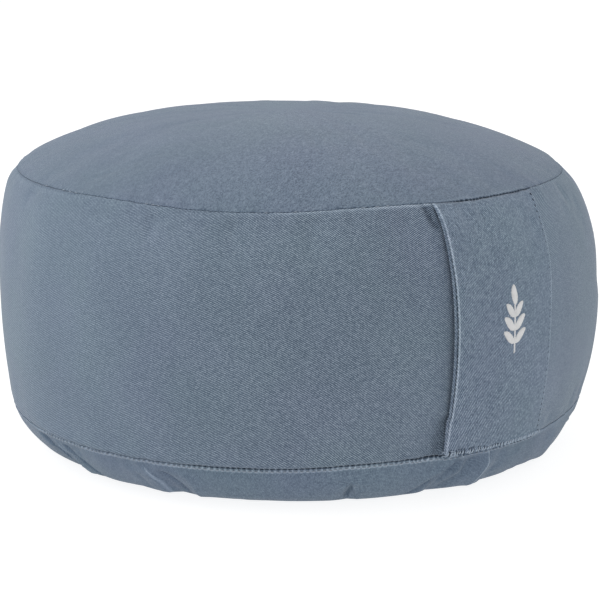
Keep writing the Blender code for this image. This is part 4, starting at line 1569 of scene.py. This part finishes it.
class CUSHION_OT_studio(bpy.types.Operator):
    """Set the camera, the lamps and the pale floor"""
    bl_idname = "cushion.studio"
    bl_label = "Studio"
    bl_options = {"REGISTER", "UNDO"}

    def execute(self, context):
        studio = context.scene.cushion_studio
        turn, up = math.radians(studio.azimuth), math.radians(studio.elevation)
        back = Vector((math.sin(turn) * math.cos(up), -math.cos(turn) * math.cos(up), math.sin(up)))
        aim = Vector((0, 0, studio.aim_height))
        data = bpy.data.cameras.new("photo_camera")
        data.sensor_width, data.lens = 36.0, studio.lens
        data.shift_x, data.shift_y = studio.shift_x, studio.shift_y
        data.clip_start, data.clip_end = 0.05, 50.0
        camera = in_scene("photo_camera", data)
        camera.location = aim + back * studio.distance
        camera.rotation_euler = (-back).to_track_quat("-Z", "Y").to_euler()
        context.scene.camera = camera
        right = Vector((math.cos(turn), math.sin(turn), 0))
        away = Vector((-math.sin(turn), math.cos(turn), 0))
        for lamp in LAMPS:
            place = aim + right * lamp.right + away * lamp.beyond + Vector((0, 0, lamp.over))
            self.lamp(lamp.name, place, aim, lamp.size, getattr(studio, lamp.power))
        self.room(studio, away)
        self.floor(studio)
        context.scene.view_settings.view_transform = "Standard"
        return {"FINISHED"}

    def lamp(self, name, place, aim, size, power):
        data = bpy.data.lights.new(name, "AREA")
        data.shape, data.size, data.energy = "DISK", size, power
        lamp = in_scene(name, data)
        lamp.location = place
        lamp.rotation_euler = (aim - place).to_track_quat("-Z", "Y").to_euler()

    def room(self, studio, away):
        """A white room that is dimmer on the camera's side."""
        world = bpy.data.worlds.new("white_room")
        world.use_nodes = True
        tree = world.node_tree
        looking = node(tree, "ShaderNodeTexCoord").outputs["Object"]
        beyond = vectors(tree, "DOT_PRODUCT", {0: looking, 1: away}, "Value")
        strength = node(tree, "ShaderNodeMapRange", {
            "Value": beyond, "From Min": -1.0, "From Max": 1.0, "To Min": studio.room_front,
            "To Max": studio.room_back}).outputs[0]
        # It lights the cushion that softly, and is plain white behind it
        seen = node(tree, "ShaderNodeLightPath").outputs["Is Camera Ray"]
        strength = maths(tree, "MULTIPLY_ADD", seen, maths(tree, "SUBTRACT", 1.0, strength), strength)
        background = tree.nodes["Background"]
        background.inputs["Color"].default_value = WHITE
        tree.links.new(strength, background.inputs["Strength"])
        bpy.context.scene.world = world

    def floor(self, studio):
        """A floor that glows pure white to the camera and less so to the cushion."""
        shape = bmesh.new()
        bmesh.ops.create_grid(shape, x_segments=8, y_segments=8, size=FLOOR_HALF)
        bmesh.ops.translate(shape, vec=(0, 0, FLOOR_LEVEL - FLOOR_BELOW), verts=shape.verts)
        mesh = mesh_of("studio_floor", shape)
        material, tree, shader = plain_material("studio_floor", roughness=0.9, sheen=0.0)
        shader.inputs["Base Color"].default_value = (*[studio.floor_white] * 3, 1)
        shader.inputs["Emission Color"].default_value = WHITE
        seen = node(tree, "ShaderNodeLightPath").outputs["Is Camera Ray"]
        glow = maths(tree, "MULTIPLY_ADD", seen, studio.floor_glow - studio.floor_light, studio.floor_light)
        tree.links.new(glow, shader.inputs["Emission Strength"])
        mesh.materials.append(material)
        in_scene("studio_floor", mesh)


OPERATORS = (CUSHION_OT_filled_body, CUSHION_OT_top_panel, CUSHION_OT_base_panel, CUSHION_OT_handle,
             CUSHION_OT_stitching, CUSHION_OT_sprig, CUSHION_OT_studio)
SETTINGS = {"cushion_form": CushionForm, "cushion_seams": SeamWork, "cushion_handle": CarryHandle,
            "cushion_twill": TwillLook, "cushion_studio": StudioLook}


class CUSHION_PT_workshop(bpy.types.Panel):
    """The cushion's steps and settings"""
    bl_idname = "CUSHION_PT_workshop"
    bl_label = "Meditation Cushion"
    bl_space_type = "VIEW_3D"
    bl_region_type = "UI"
    bl_category = "Cushion"

    def draw(self, context):
        for operator in OPERATORS:
            self.layout.operator(operator.bl_idname)
        for name, group in SETTINGS.items():
            box = self.layout.box()
            box.label(text=group.__doc__)
            for setting in group.__annotations__:
                box.prop(getattr(context.scene, name), setting)


def register():
    for group in (*SETTINGS.values(), *OPERATORS, CUSHION_PT_workshop):
        bpy.utils.register_class(group)
    for name, group in SETTINGS.items():
        setattr(bpy.types.Scene, name, PointerProperty(type=group))


def unregister():
    for name in SETTINGS:
        delattr(bpy.types.Scene, name)
    for group in reversed((*SETTINGS.values(), *OPERATORS, CUSHION_PT_workshop)):
        bpy.utils.unregister_class(group)


def main():
    register()
    for operator in OPERATORS:
        step = getattr(bpy.ops.cushion, operator.bl_idname.split(".")[1])
        if step() != {"FINISHED"}:
            raise RuntimeError(f"{operator.bl_label} could not be made")


if __name__ == "__main__":
    main()
